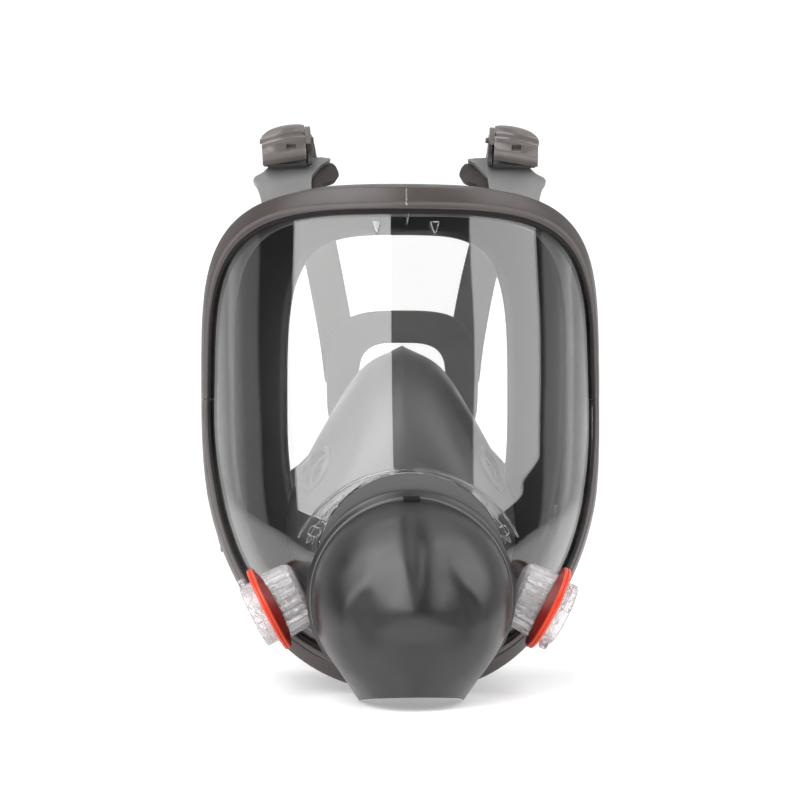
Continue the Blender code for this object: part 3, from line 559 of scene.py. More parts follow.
def visor():
    """The clear visor with the collar round its breathing hole and the cheek ports' bores."""
    hold = (COLLAR_INNER + COLLAR_OUTER) / 2
    count = 34
    rows = []
    for station in RING:
        towards = Vector((station.x, station.z - CENTRE_Z)).normalized() * hold
        inner_z = CENTRE_Z + towards.y
        start, stop = wrap_angle(station.x, station.z), wrap_angle(towards.x, inner_z)
        row = []
        for j in range(count + 1):
            share = (j / count) ** 1.15
            z = station.z + (inner_z - station.z) * share
            wrap = start + (stop - start) * share
            row.append(lens_point(math.sin(wrap) * table_value(LENS_HALF_WIDTH, z), z))
        rows.append(row)
    obj = piece("visor", grid_mesh(rows, True), [CLEAR], replaces=["lens"])
    solidify(obj, LENS_THICK, offset=-1.0)
    apply_modifiers(obj)
    front, back = COLLAR_FRONT, COLLAR_BACK
    collar = [(COLLAR_INNER, front), (COLLAR_OUTER - 0.8 * MM, front), (COLLAR_OUTER, front + 0.8 * MM)]
    collar += [(COLLAR_OUTER, front + 4.0 * MM), (COLLAR_OUTER - 1.0 * MM, front + 4.6 * MM)]
    collar += [(COLLAR_OUTER - 1.0 * MM, back), (COLLAR_INNER, back)]
    along_y = axis_matrix(Vector((0, 0, CENTRE_Z)), (0, 1, 0), Vector((1, 0, 0)))
    steps = [("UNION", tool("collar", turned_mesh(collar, 128), along_y))]
    for word, side in SIDES:
        steps += port_cuts(side)
    boolean(obj, steps)


def port_cuts(side):
    """A cheek port's bore, and the throat that leads back from it into the mask."""
    place = port_matrix(side)
    throat = place @ Vector((0, 0, -BOSS_LENGTH + 7.5 * MM))
    back_way = axis_matrix(throat, (0, 1, 0), Vector((1, 0, 0)))
    bore = rod_mesh(PORT_BORE, -BOSS_LENGTH + 2 * MM, BAYONET_LENGTH + 2 * MM, 72)
    return [("DIFFERENCE", tool("bore", bore, place)),
            ("DIFFERENCE", tool("throat", rod_mesh(6.5 * MM, 0, 26 * MM, 48), back_way))]


def port_barrel(word, side, place):
    obj = piece("port_barrel_" + word, fluted_barrel(), [FROST], matrix=place)
    steps = []
    for turn in range(3):
        at = place @ Matrix.Rotation(math.radians(120 * turn + 30), 4, "Z")
        steps.append(("UNION", tool("lug", bayonet_lug(), at)))
    boolean(obj, steps + port_cuts(side))


def port_gasket(word, place):
    """The port's sealing ring; its back flange, coloured a darker red as painted shade, is deep towards the
    front and thins out behind.
    """
    body = turned_mesh([(r * MM, h * MM) for r, h in GASKET_RING], 128)
    for vert in body.verts:
        if vert.co.z < GASKET_FACE:
            facing = max(-vert.co.x / math.hypot(vert.co.x, vert.co.y), 0.0)
            vert.co.z *= 0.06 + 0.94 * facing**0.9
    ring = piece("port_gasket_ring_" + word, body, [GASKET_MAT, GASKET_SHADE_MAT],
                 replaces=["port_gasket_" + word], matrix=place)
    axis = place.col[2].to_3d()
    origin = place.translation + SHIFT
    # Faces behind the ring's face take the darker red: painted shade.
    for face in ring.data.polygons:
        if (face.center - origin).dot(axis) < GASKET_FACE:
            face.material_index = 1


def cheek_ports():
    for word, side in SIDES:
        place = port_matrix(side)
        port_barrel(word, side, place)
        port_gasket(word, place)


def surface_bead(name, points, radius):
    """A fine clear bead along (x, z) points of the visor's outer face."""
    sections = []
    last = len(points) - 1
    for k, (x, z) in enumerate(points):
        ahead = lens_point(*points[min(k + 1, last)]) - lens_point(*points[max(k - 1, 0)])
        normal = lens_normal(x, z)
        across = ahead.normalized().cross(normal)
        sections.append(oval(lens_point(x, z), across * radius, normal * radius, 10))
    piece(name, loft_mesh(sections, False), [CLEAR])


def about_cover(radius, degrees):
    """The (x, z) point at a radius round the front cover's centre, in degrees from its top."""
    turn = math.radians(degrees)
    return radius * math.sin(turn), COVER_Z + radius * math.cos(turn)


def visor_beads():
    """Two fine beads round the breathing hole."""
    for index, (radius, thickness) in enumerate(((49.5, 0.55), (46.0, 0.35))):
        line = [about_cover(radius * MM, -64 + 2 * k) for k in range(65)]
        surface_bead("visor_bead_%d" % index, line, thickness * MM)


def visor_marks():
    """Wavy moulding marks on both sides of the breathing hole."""
    for word, side in SIDES:
        for index in range(2):
            line = []
            for k in range(19):
                radius = 43.6 + 2.6 * index + 1.3 * math.sin(1.25 * k + 2 * index) + 0.5 * math.sin(2.9 * k)
                degrees = 33 + 1.7 * k + 1.2 * math.sin(2.1 * k + index)
                line.append(about_cover(radius * MM, side * degrees))
            smooth = curve_through([Vector((x, 0, z)) for x, z in line], 4)
            surface_bead("visor_mark_%s_%d" % (word, index), [(p.x, p.z) for p in smooth], 0.32 * MM)


def visor_lugs():
    """Little tapered lugs moulded on the visor just under the top of the frame."""
    for word, x, half, top, tip in VISOR_LUGS:
        corners = ((x - half, top), (x + half, top), (x + 0.35 * half, tip), (x - 0.1 * half, tip))
        front, back = [], []
        for corner in corners:
            at = (corner[0] * MM, corner[1] * MM)
            front.append(lens_point(*at) + lens_normal(*at) * 0.9 * MM)
            back.append(lens_point(*at) - lens_normal(*at) * 0.6 * MM)
        lug = piece("visor_lug_" + word, loft_mesh([front, back], False), [CLEAR])
        bevel(lug, 0.25 * MM, 2)


# ---- frame ------------------------------------------------------------------------------------------
def frame_section():
    """The band's section in (outward, normal) millimetres, round on its outer corners."""
    points = [(-7.0, 0.3), (-7.0, 0.8), (-6.6, 1.1), (-5.4, 1.15)]
    points += arc((-4.6, 1.3), 0.6, 180, 90, 3)
    points += [(-3.3, 1.9), (-2.9, 2.1)]
    points += arc((-2.4, 2.1), 0.5, 180, 90, 3)
    points += [(0.5, 2.72)]
    points += arc((3.2, 1.3), 1.3, 90, 0, 6)
    points += [(4.62, -2.2)]
    points += arc((3.6, -6.1), 0.9, 0, -90, 4)
    points += [(-1.0, -7.0), (-1.0, -5.7), (0.3, -5.7), (0.3, 0.3)]
    return points


def frame_band(name, stations, side_of_split, node):
    """One half of the clamping frame, with its inner lip near-black as a painted shadow."""
    outline = frame_section()
    sections = []
    for station in stations:
        sections.append([station.at(o * MM, n * MM) for o, n in outline])
    for section in (sections[0], sections[-1]):
        for point in section:
            point.z += side_of_split * 0.15 * MM
    lip = 4
    # The inner lip's faces take the near-black material, a painted shadow.
    band = loft_mesh(sections, False, lambda j: 1 if j < lip or j > len(outline) - 3 else 0)
    piece(name, band, [FRAME_MAT, LIP_MAT], replaces=[node])


def frame_glint_fin():
    """A whitish frosted fin across the middle of the frame's top: a painted glint for a narrow slit there."""
    top = RING[STATIONS // 4]
    sections = []
    for k in range(15):
        out = -3.9 + 7.2 * k / 14
        bump = 0.22 + 0.16 * math.sin(2.9 * k)
        low, high = 2.2, 2.62 + bump - 0.9 * smooth_step(-out, 2.6, 4.0)
        width = 0.42 + 0.16 * math.sin(1.7 * k)
        corners = ((-width, low), (width, low), (0.6 * width, high), (-0.6 * width, high))
        sections.append([top.at(out * MM, n * MM) + Vector((x * MM, 0, 0)) for x, n in corners])
    # The fin's frosted white stands in for the slit's glint: a painted highlight.
    piece("frame_slit_glint", loft_mesh(sections, False), [FROST])


def frame_lugs():
    """The screw lugs where the two halves of the frame meet, with a moulded pad over each."""
    screw = Vector((82.0, 70.5, 119.0)) * MM
    for word, side in SIDES:
        for half, low, high in (("upper", 0.15, 8.0), ("lower", -8.0, -0.15)):
            bm = box_mesh((-2.7 * MM, -7.0 * MM, low * MM), (3.0 * MM, 3.2 * MM, high * MM))
            place = Matrix.Translation((side * screw.x, screw.y, screw.z)) @ Matrix.Diagonal((side, 1, 1, 1))
            obj = piece("frame_lug_%s_%s" % (half, word), bm, [FRAME_MAT], matrix=place)
            bore = Matrix.Translation((side * screw.x, screw.y, screw.z))
            boolean(obj, [("DIFFERENCE", tool("hole", rod_mesh(1.8 * MM, -12 * MM, 12 * MM, 32), bore))])
            bevel(obj, 0.7 * MM)


# ---- face seal --------------------------------------------------------------------------------------
SEAL_THICK = 2.4 * MM
SEAL_CENTRE_Z = 112.0 * MM


def seal_row(station):
    """A line down the face seal's wall, from its clamped edge out to the rim and in to the face flap."""
    low = max(0.0, (EDGE_MIDDLE - station.z) / (EDGE_MIDDLE - EDGE_BOTTOM))
    side_share = abs(station.x) / EDGE_HALF_WIDTH
    top = station.z > EDGE_MIDDLE
    lip_out = (7.0 - 6.2 * low**2) * MM
    rim_height = 97.5 * MM if top else 110.2 * MM
    edge_height = EDGE_TOP - EDGE_MIDDLE if top else EDGE_MIDDLE - EDGE_BOTTOM
    lift = (station.z - EDGE_MIDDLE) / edge_height
    centre_y = 60.0 * MM if top else 68.0 * MM
    rim = Vector((0.925 * station.x, centre_y + (104.0 * MM - centre_y) * side_share**1.6, 0))
    rim.z = SEAL_CENTRE_Z + rim_height * lift
    flap = Vector((0.60 * station.x, rim.y - 7.0 * MM, SEAL_CENTRE_Z + (78.0 if top else 86.0) * MM * lift))
    behind = station.at(lip_out, -9.8 * MM)
    belly = behind.lerp(rim, 0.55) + Vector((0, 0, 1.5 * MM * lift if top else 0))
    inner = rim.lerp(flap, 0.45) + Vector((0, 2.5 * MM, 0))
    clamped = [station.at(o * MM, n * MM) for o, n in ((-0.3, -4.1), (-3.0, -4.1), (-3.4, -9.6))]
    return curve_through(clamped + [behind, belly, rim, inner, flap], 5)


def face_seal():
    obj = piece("face_seal_rubber", grid_mesh([seal_row(s) for s in RING], True), [SEAL_SHADED_MAT],
                replaces=["face_seal"])
    solidify(obj, SEAL_THICK)


# ---- nose cup ---------------------------------------------------------------------------------------
CUP_RING = 36.2 * MM
CUP_OUTLINE = (
    (0, 141, 56), (16, 132, 58), (29, 113, 62), (40, 93, 65), (47.5, 74, 67),
    (48, 55, 67), (39, 36, 65), (21, 24, 61), (0, 20, 60),
)
CUP_VALVE_TURN = math.radians(62)
CUP_VALVE_SHARE = 0.50
CUP_VALVE_HOLE = 8.0 * MM


def cup_point(turn, share):
    """The cup's wall at a turn from its top, from the ring at share 0 back to the face edge at 1."""
    side = 1.0 if turn <= math.pi else -1.0
    spread = [(k * 10, p) for k, p in enumerate(CUP_OUTLINE)]
    along = (turn if side > 0 else math.tau - turn) / math.pi
    x, z, y = [table_value([(s, p[axis]) for s, p in spread], along * 80 * MM) for axis in range(3)]
    back = Vector((side * x, y, z))
    ring = Vector((CUP_RING * math.sin(turn), BARREL_BACK + 1.5 * MM, CENTRE_Z + CUP_RING * math.cos(turn)))
    point = ring.lerp(back, 1.0 - (1.0 - share) ** 1.7)
    point.y = ring.y + (back.y - ring.y) * share**1.25
    return point


def cup_valve_matrix(side):
    """The frame of a valve hole in the cup's cheek, with Z straight out of the wall."""
    turn = CUP_VALVE_TURN if side > 0 else math.tau - CUP_VALVE_TURN
    step = 0.02
    along = cup_point(turn, CUP_VALVE_SHARE + step) - cup_point(turn, CUP_VALVE_SHARE - step)
    around = cup_point(turn + step, CUP_VALVE_SHARE) - cup_point(turn - step, CUP_VALVE_SHARE)
    outward = around.cross(along)
    if outward.x * side < 0:
        outward.negate()
    return axis_matrix(cup_point(turn, CUP_VALVE_SHARE), outward)


def nose_cup():
    """The rubber cup over nose and mouth, with a thick rim round the valve hole in each cheek."""
    around, along = 128, 26
    rows = []
    for n in range(around):
        turn = math.tau * n / around
        front = cup_point(turn, 0.0)
        front.y = COLLAR_BACK + 1.0 * MM
        mid = cup_point(turn, 0.0)
        mid.y = (front.y + mid.y) / 2
        rows.append([front, mid] + [cup_point(turn, k / along) for k in range(along + 1)])
    obj = piece("nose_cup_rubber", grid_mesh(rows, True), [CUP_MAT], replaces=["nose_cup"])
    solidify(obj, 2.0 * MM)
    apply_modifiers(obj)
    steps = []
    for word, side in SIDES:
        place = cup_valve_matrix(side)
        rim = [(r * MM, h * MM) for r, h in ((0, -2.6), (10.4, -2.6), (10.4, 1.4), (9.6, 2.2), (0, 2.2))]
        steps.append(("UNION", tool("rim", turned_mesh(rim, 64), place)))
        steps.append(("DIFFERENCE", tool("hole", rod_mesh(CUP_VALVE_HOLE, -9 * MM, 9 * MM, 64), place)))
    boolean(obj, steps)


# ---- front cover ------------------------------------------------------------------------------------
COVER_BACK = -24.2 * MM
COVER_OUTER = 41.5 * MM
COVER_Z = 41.5 * MM
BODY_RADIUS = 39.6 * MM
BODY_Z = 40.4 * MM
CHUTE = 21.4 * MM
COVER_DEPTH = 36.0 * MM
COVER_SWEEP = math.radians(126)
BEAD_RADIUS = 39.8 * MM


def circle_then_chute(z, radius, centre, foot):
    """Half width of a round outline whose sides run straight in to the foot at z = 0."""
    tangent = COVER_SWEEP - math.radians(90)
    knee = centre - radius * math.sin(tangent)
    if z >= knee:
        return math.sqrt(max(radius**2 - (z - centre) ** 2, 0.0))
    return foot + (radius * math.cos(tangent) - foot) * z / knee


def cover_reach(z):
    """How far the cover stands forward on its middle line: a sloping hood above, a straight wall below."""
    brow = BODY_Z - 9 * MM
    if z <= brow:
        return COVER_DEPTH
    ratio = min((z - brow) / (BODY_Z + BODY_RADIUS - brow), 1.0)
    return (COVER_DEPTH - 24 * MM * ratio**1.6) * math.sqrt(max(1.0 - ratio**9, 0.0))


def cover_relief(x, z):
    """Height added to the cover's front: a notched ridge down the hood between two hollows."""
    ridge = math.exp(-(x / (10.0 * MM)) ** 2) * smooth_step(z, 26 * MM, 40 * MM)
    width = (2.2 + 2.8 * smooth_step(z, 42 * MM, 72 * MM)) * MM
    notch = math.exp(-((x - 0.8 * MM) / width) ** 2) * smooth_step(z, 38 * MM, 62 * MM)
    hollow = math.exp(-((abs(x) - 19 * MM) / (6.5 * MM)) ** 2 - ((z - 36 * MM) / (11 * MM)) ** 2)
    arch = math.hypot(x / (29 * MM), max(z - 25 * MM, 0.0) / (31 * MM))
    crest = math.exp(-((arch - 1.0) / 0.13) ** 2) * smooth_step(z, 10 * MM, 30 * MM)
    crest *= smooth_step(abs(x), 12 * MM, 20 * MM)
    return (2.2 * ridge - 1.2 * notch - 1.8 * hollow + 0.8 * crest) * MM


def cover_body():
    """Rows across the cover's body from its bottom edge up, each one from side wall to side wall."""
    columns = 96
    heights = [(k / 40) * BODY_Z for k in range(40)]
    heights += [BODY_Z + (BODY_RADIUS - 0.02 * MM) * math.sin(math.radians(90) * (k / 56)) for k in range(57)]
    rows = []
    for z in heights:
        half = circle_then_chute(z, BODY_RADIUS, BODY_Z, CHUTE - 0.8 * MM)
        reach = cover_reach(z)
        row = []
        for k in range(columns + 1):
            turn = math.radians(-90 + 180 * k / columns)
            across = half * math.copysign(abs(math.sin(turn)) ** 0.96, math.sin(turn))
            forward = reach * max(math.cos(turn), 0.0) ** 0.80 if 0 < k < columns else 0.0
            forward += cover_relief(across, z) * smooth_step(forward, 0.0, 14 * MM)
            rise = 5.8 * MM * min(forward / COVER_DEPTH, 1.0) * (1.0 - smooth_step(z, 0.0, 16 * MM))
            row.append(Vector((across, COVER_BACK + 1.2 * MM - forward, z + rise)))
        rows.append(row)
    return rows


def cover_flange():
    """Rows across the round flange, which slopes in under the body's edge."""
    back = Vector((0, COVER_BACK + 1.6 * MM, 0))
    front = Vector((0, COVER_BACK + 0.4 * MM, 0))
    rows = []
    for k in range(129):
        turn = COVER_SWEEP * (-1.0 + k / 64)
        around = Vector((math.sin(turn), 0, math.cos(turn)))
        outer = Vector((0, 0, COVER_Z)) + around * COVER_OUTER
        inner = Vector((0, 0, BODY_Z)) + around * BODY_RADIUS
        slope = Vector((0, -0.8 * (inner - outer).length, 0))
        lip = ((1.5, 1.8), (0.8, 1.0), (0.35, 0.25))
        row = [outer.lerp(inner, share) + front + slope * drop for share, drop in lip]
        rows.append(row + [outer + front, outer + back])
    return rows


def cover_bead():
    """The bead round the edge of the cover's hood, far lighter than the cover: a painted highlight line."""
    sections = []
    for k in range(121):
        turn = math.radians(-104 + 208 * k / 120)
        outward = Vector((math.sin(turn), 0, math.cos(turn)))
        middle = Vector((0, COVER_BACK - 1.6 * MM, BODY_Z)) + outward * BEAD_RADIUS
        sections.append(oval(middle, outward * 0.55 * MM, Vector((0, 0.8 * MM, 0)), 12))
    piece("front_cover_bead", loft_mesh(sections, False), [BEAD_HIGHLIGHT_MAT], body="cover")


def cover_latch():
    """The small catch at the top of the cover."""
    low = (-3.2 * MM, COVER_BACK - 4.4 * MM, 78.9 * MM)
    high = (3.2 * MM, COVER_BACK + 1.0 * MM, 80.9 * MM)
    latch = piece("front_cover_latch", box_mesh(low, high), [LIP_MAT], body="cover")
    bevel(latch, 0.4 * MM)


def front_cover():
    bm = grid_mesh(cover_flange(), False, grid_mesh(cover_body(), False))
    shell = piece("front_cover_shell", bm, [COVER_MAT], body="cover",
                  replaces=["front_cover"])
    solidify(shell, 1.6 * MM, offset=-1.0)
    cover_bead()
    cover_latch()


# ---- buckles and strap tabs -------------------------------------------------------------------------
PIN_V, PIN_W = 3.5 * MM, 3.4 * MM
BUCKLE_HALF = 10.5 * MM
CHEEK = 1.8 * MM
LEVER_HALF = 11.2 * MM
LEVER_SHORT = 8.0 * MM
LEVER_LEAN = 0.16
CURL_PLACE = 9.25 * MM
CURL_HALF = 1.2 * MM
LEVER_WINDOW = (Vector((-0.5, -8.4, 2.35)) * MM, Vector((3.6, -6.2, 5.0)) * MM)
CHANNEL_OUTLINE = (
    (-5.6, -3.2), (7, -3.2), (7, 3.4), (5.6, 5.2), (4.6, 5.6), (2.4, 5.6),
    (1.6, 5.2), (-1.5, 1.8), (-5.5, 2.2), (-7.6, 1.8), (-8.4, 0.6), (-7.2, -1.4),
)


def buckle_frames():
    """Each buckle's frame: Y runs along its strap and Z out through the lever."""
    frames = {}
    for word, side in SIDES:
        up = Vector((side * 0.06, 0.60, 0.80)).normalized()
        out = Vector((0, -0.80, 0.60))
        out = (out - up * out.dot(up)).normalized()
        place = Vector((side * 49.5, 78.0, 228.0)) * MM
        frames["upper_" + word] = axes_matrix(place, up.cross(out), up, out)
        back = Vector((-side * 0.20, 0.93, 0.12)).normalized()
        out = Vector((side, 0.20, 0.0))
        out = (out - back * out.dot(back)).normalized()
        place = Vector((side * 72.5, 116.0, 62.0)) * MM
        frames["lower_" + word] = axes_matrix(place, back.cross(out), back, out)
    return frames


BUCKLES = buckle_frames()


def lever_section(x, lean):
    """The lever's section at x: a domed thumb rest over the pin, two ridges, a flat panel and a lip."""
    share = min(abs(x) / LEVER_HALF, 1.0)
    dome = 6.8 - 2.1 * share**2
    start = 42.0 + 50.0 * share**3
    outer = arc((0, 0), dome, start, 104, 12)
    v, w = outer[-1]
    ridges = ((-0.9, -0.9), (-1.7, -0.8), (-2.3, -0.3), (-3.1, -0.5), (-3.7, -1.3), (-4.3, -1.9))
    thumb_rest = outer[:]
    outer += [(v + dv, w + dw) for dv, dw in ridges]
    outer += [(-8.6, 2.9), (-9.4, 3.1), (-10.4, 3.0), (-11.4, 2.2), (-12.1, 1.2), (-12.4, -0.4)]
    inner = [(-11.7, -0.4), (-11.3, 0.5), (-10.6, 1.1), (-9.2, 1.6), (-6.6, 2.1), (-4.4, 2.8)]
    inner.append((v - 1.4, w - 2.3))
    shrink = (dome - 1.5) / dome
    inner += [(p * shrink, q * shrink) for p, q in reversed(thumb_rest)]
    return [(x, v * MM + lean * x, w * MM) for v, w in outer + inner]


def side_of(name):
    return -1.0 if name.endswith("left") else 1.0


def pin_bore(place, steps):
    """The guide for the pin's hole through a buckle."""
    along = axis_matrix(place @ Vector((0, PIN_V, PIN_W)), place.col[0].to_3d(), place.col[1].to_3d())
    return tool("pin_hole", rod_mesh(1.5 * MM, -15 * MM, 15 * MM, steps), along)


def lever_curl(name, at_pin):
    """The curled cheek beside an upper lever's short end."""
    hook = arc((0, 0), 6.3, 64, 152, 18) + arc((0, 0), 4.2, 152, 64, 18)
    beside = at_pin @ Matrix.Translation((-side_of(name) * CURL_PLACE, 0, 0))
    curl = piece("cam_curl_" + name, extruded_mesh(hook, CURL_HALF), [BUCKLE_MAT], body="lever_" + name,
                 matrix=beside)
    bevel(curl, 0.5 * MM)


def lever_core(name, place, at_pin):
    """The cam on the pin, which presses the strap into the channel."""
    cam = arc((0, 0), 2.3, -110, 90, 20) + [(-2.6, 5.0), (-3.6, 3.2), (-2.8, 0.7)]
    core = piece("cam_core_" + name, extruded_mesh(cam, BUCKLE_HALF - CHEEK - 0.3 * MM), [BUCKLE_MAT],
                 body="lever_" + name, matrix=at_pin)
    boolean(core, [("DIFFERENCE", pin_bore(place, 40))])


def buckle_levers():
    """The cam levers; an upper one is shorter on its inner side, where its curled cheek stands."""
    for name, place in BUCKLES.items():
        side = side_of(name)
        upper = name.startswith("upper")
        at_pin = place @ Matrix.Translation((0, PIN_V, PIN_W))
        inner_end = LEVER_SHORT if upper else LEVER_HALF
        start, stop = (-inner_end, LEVER_HALF) if side > 0 else (-LEVER_HALF, inner_end)
        lean = -side * LEVER_LEAN if upper else 0.0
        sections = [lever_section(start + (stop - start) * k / 32, lean) for k in range(33)]
        lever = piece("cam_lever_" + name, loft_mesh(sections, False), [BUCKLE_MAT], body="lever_" + name,
                      replaces=["buckle_lever_" + name], matrix=at_pin)
        boolean(lever, [("DIFFERENCE", tool("window", box_mesh(*LEVER_WINDOW), at_pin))])
        bevel(lever, 0.35 * MM, 2)
        if upper:
            lever_curl(name, at_pin)
        lever_core(name, place, at_pin)


def buckle_bodies():
    """The channel that the strap runs through, between two cheeks that carry the pin."""
    inside = BUCKLE_HALF - CHEEK
    for name, place in BUCKLES.items():
        # The channel body takes the darkened material, a painted shade.
        obj = piece("strap_channel_" + name, extruded_mesh(CHANNEL_OUTLINE, BUCKLE_HALF), [BUCKLE_SHADE_MAT],
                    replaces=["buckle_body_" + name], matrix=place)
        channel = box_mesh((-inside, -10 * MM, -1.2 * MM), (inside, 12 * MM, 12 * MM))
        boolean(obj, [("DIFFERENCE", tool("channel", channel, place)), ("DIFFERENCE", pin_bore(place, 32))])
        bevel(obj, 0.35 * MM, 2)


# Millimetres in a buckle's frame: heights of the plate's rows, then (height, half width) outlines.
TAB_LEVELS = (
    -27.0, -24.0, -21.0, -18.0, -15.5, -13.5, -12.0, -10.5, -9.0, -7.6, -6.4,
    -5.4, -4.4, -3.4, -2.4, -1.6, -1.0, -0.6, 0.3, 1.6, 3.0,
)
TAB_OUTER = (
    (-27, 12.0), (-22.8, 12.5), (-16, 13.7), (-12.5, 15.6), (-10.8, 15.2),
    (-9.3, 12.8), (-7.6, 10.8), (-5, 8.5), (-3, 7.7), (3, 7.4),
)
TAB_INNER = (
    (-27, 9.4), (-14.5, 9.6), (-10.4, 10.5), (-5.6, 14.1), (-3, 17.0),
    (-1.4, 19.2), (-0.9, 18.6), (-0.5, 12.0), (0.3, 8.2), (3, 7.4),
)
SHADE_SHEET_INNER = (
    (-27, 12.5), (-13.5, 14.7), (-11.6, 18.5), (-9.8, 20.8),
    (-7.2, 21.9), (-5.0, 21.8), (-2.0, 20.9), (-0.6, 19.6),
)
SIDE_TAB = ((-25, 13.0), (-14, 10.5), (-9, 9.0), (-4, 8.0), (3, 7.5))


def straight(table, at):
    """Straight-line reading of a table."""
    if at <= table[0][0]:
        return table[0][1]
    for (x0, y0), (x1, y1) in zip(table, table[1:]):
        if at <= x1:
            return y0 + (y1 - y0) * (at - x0) / (x1 - x0)
    return table[-1][1]


def tab_rows(levels, left, right, surface):
    """Rows across a tab between two edges, lifted to its surface; everything in millimetres."""
    rows = []
    for v in levels:
        start, stop = left(v), right(v)
        row = []
        for k in range(25):
            u = start + (stop - start) * k / 24
            row.append(Vector((u, v, surface(u, v))) * MM)
        rows.append(row)
    return rows


def side_tab(name, place):
    """The plain rubber plate under a lower buckle."""
    levels = [v for v in TAB_LEVELS if v > -26]
    rows = tab_rows(levels, lambda v: -straight(SIDE_TAB, v), lambda v: straight(SIDE_TAB, v),
                    lambda u, v: -4.9 - 0.006 * u * u)
    plate = piece("seal_tab_" + name, grid_mesh(rows, False), [TAB_MAT], matrix=place)
    solidify(plate, 2.6 * MM)
    bevel(plate, 0.7 * MM, 3, 50)


def winged_tab(name, place):
    """The winged plate under an upper buckle, with a near-black sheet of painted shade under its inner end."""
    rows = tab_rows(TAB_LEVELS, lambda v: -straight(TAB_OUTER, v), lambda v: straight(TAB_INNER, v),
                    lambda u, v: -4.9 + 0.9 * smooth_step(abs(u), 9.0, 16.0) - 0.004 * u * u)
    plate = piece("seal_tab_" + name, grid_mesh(rows, False), [TAB_MAT], matrix=place)
    solidify(plate, 2.4 * MM)
    bevel(plate, 0.8 * MM, 3, 50)
    # A near-black sheet behind the tab's inner end: painted shade.
    levels = [v for v in TAB_LEVELS if v < -0.5]
    rows = tab_rows(levels, lambda v: straight(TAB_INNER, v) - 2.5, lambda v: straight(SHADE_SHEET_INNER, v),
                    lambda u, v: -7.6 - 0.02 * (u - 10.0) ** 2)
    core = piece("seal_tab_shade_sheet_" + name, grid_mesh(rows, False), [TAB_SHADE_MAT],
                 matrix=place)
    solidify(core, 3.0 * MM)
    bevel(core, 1.0 * MM, 3, 50)


def strap_tabs():
    """The seal's tabs, which hold the buckles; the upper ones mirror each other."""
    for name, place in BUCKLES.items():
        if name.startswith("upper"):
            winged_tab(name, place @ Matrix.Diagonal((-side_of(name), 1, 1, 1)))
        else:
            side_tab(name, place)


# ---- head harness -----------------------------------------------------------------------------------
STRAP_THICK = 1.6 * MM
HANG = 4.5 * MM
CROWN = Vector((4.5, 150.0, 127.0)) * MM
UPPER_STRAP = ((-48, 98, 236), (-46, 122, 223), (-41, 141, 198), (-35.5, 150, 172), (-31, 151, 147),
               (-28.6, 151, 128))
LOWER_STRAP = ((-68, 134, 65), (-59, 146, 72), (-45, 151, 84), (-32, 150.6, 97), (-27, 149.8, 102))


def strap_sections(path, held, widths, across_start, across_end, ribbed):
    """A strap's sections; between buckle and crown one face carries fine crosswise grip ribs."""
    sections = []
    last = len(path) - 1
    for k, point in enumerate(path):
        tangent = (path[min(k + 1, last)] - path[max(k - 1, 0)]).normalized()
        across = across_start.lerp(across_end, max(k - held, 0) / (last - held))
        across = (across - tangent * across.dot(tangent)).normalized()
        normal = tangent.cross(across)
        half = widths[0] + (widths[1] - widths[0]) * k / last
        rib = 0.28 * MM * (k % 2) if ribbed(k / last) else 0.0
        low, high = -STRAP_THICK / 2 + rib, STRAP_THICK / 2 - rib
        edge = 0.35 * MM
        corners = ((-half, low + edge), (-half + edge, low), (half - edge, low), (half, low + edge),
                   (half, high - edge), (half - edge, high), (-half + edge, high), (-half, high - edge))
        sections.append([point + across * u + normal * w for u, w in corners])
    return sections


def strap_path(place, route, flip, steps):
    """A strap's path from its buckle along the route, and the number of points that the buckle holds."""
    start = [place @ (Vector((0, v, -0.1)) * MM) for v in (-8.0, -4.0, 3.0, 9.0)]
    points = start + [Vector(p) * MM * flip for p in route]
    for k in range(len(start), len(points)):
        points[k].x += HANG * min((k - 3) / 3, 1.0)
    return curve_through(points, steps), (len(start) - 1) * steps + 1


def harness_straps():
    """Four straps from the buckles to the crown piece, which hangs a little to one side."""
    levels = (("upper", UPPER_STRAP, (1, 0, 0), 8.3), ("lower", LOWER_STRAP, (0.35, -0.3, 0.9), 6.5))
    for word, side in SIDES:
        flip = Vector((-side, 1, 1))
        for level, route, across, end_half in levels:
            name = "%s_%s" % (level, word)
            place = BUCKLES[name]
            path, held = strap_path(place, route, flip, 16)
            at_buckle = place.col[0].to_3d()
            at_crown = Vector(across) * flip
            if at_buckle.dot(at_crown) < 0:
                at_crown.negate()
            sections = strap_sections(path, held, (8.3 * MM, end_half * MM), at_buckle, at_crown,
                                      lambda share: 0.42 < share < 0.93)
            piece("harness_strap_" + name, loft_mesh(sections, False), [HARNESS_MAT])


def harness_crown():
    """The crown piece behind the head: a rounded square ring where the straps meet."""
    rows = []
    for k in range(96):
        turn = math.tau * k / 96
        c, s = math.cos(turn), math.sin(turn)
        x = math.copysign(abs(c) ** 0.6, c)
        z = math.copysign(abs(s) ** 0.6, s)
        row = []
        for j in range(9):
            share = j / 8
            width = 20.5 + 15.5 * share
            height = 18.6 + 15.4 * share
            row.append(CROWN + Vector((width * x, -2.0 * abs(c) * share, height * z)) * MM)
        rows.append(row)
    crown = piece("harness_crown", grid_mesh(rows, True), [HARNESS_MAT],
                  replaces=["head_harness"])
    solidify(crown, STRAP_THICK + 0.6 * MM)
    bevel(crown, 0.6 * MM, 3, 50)


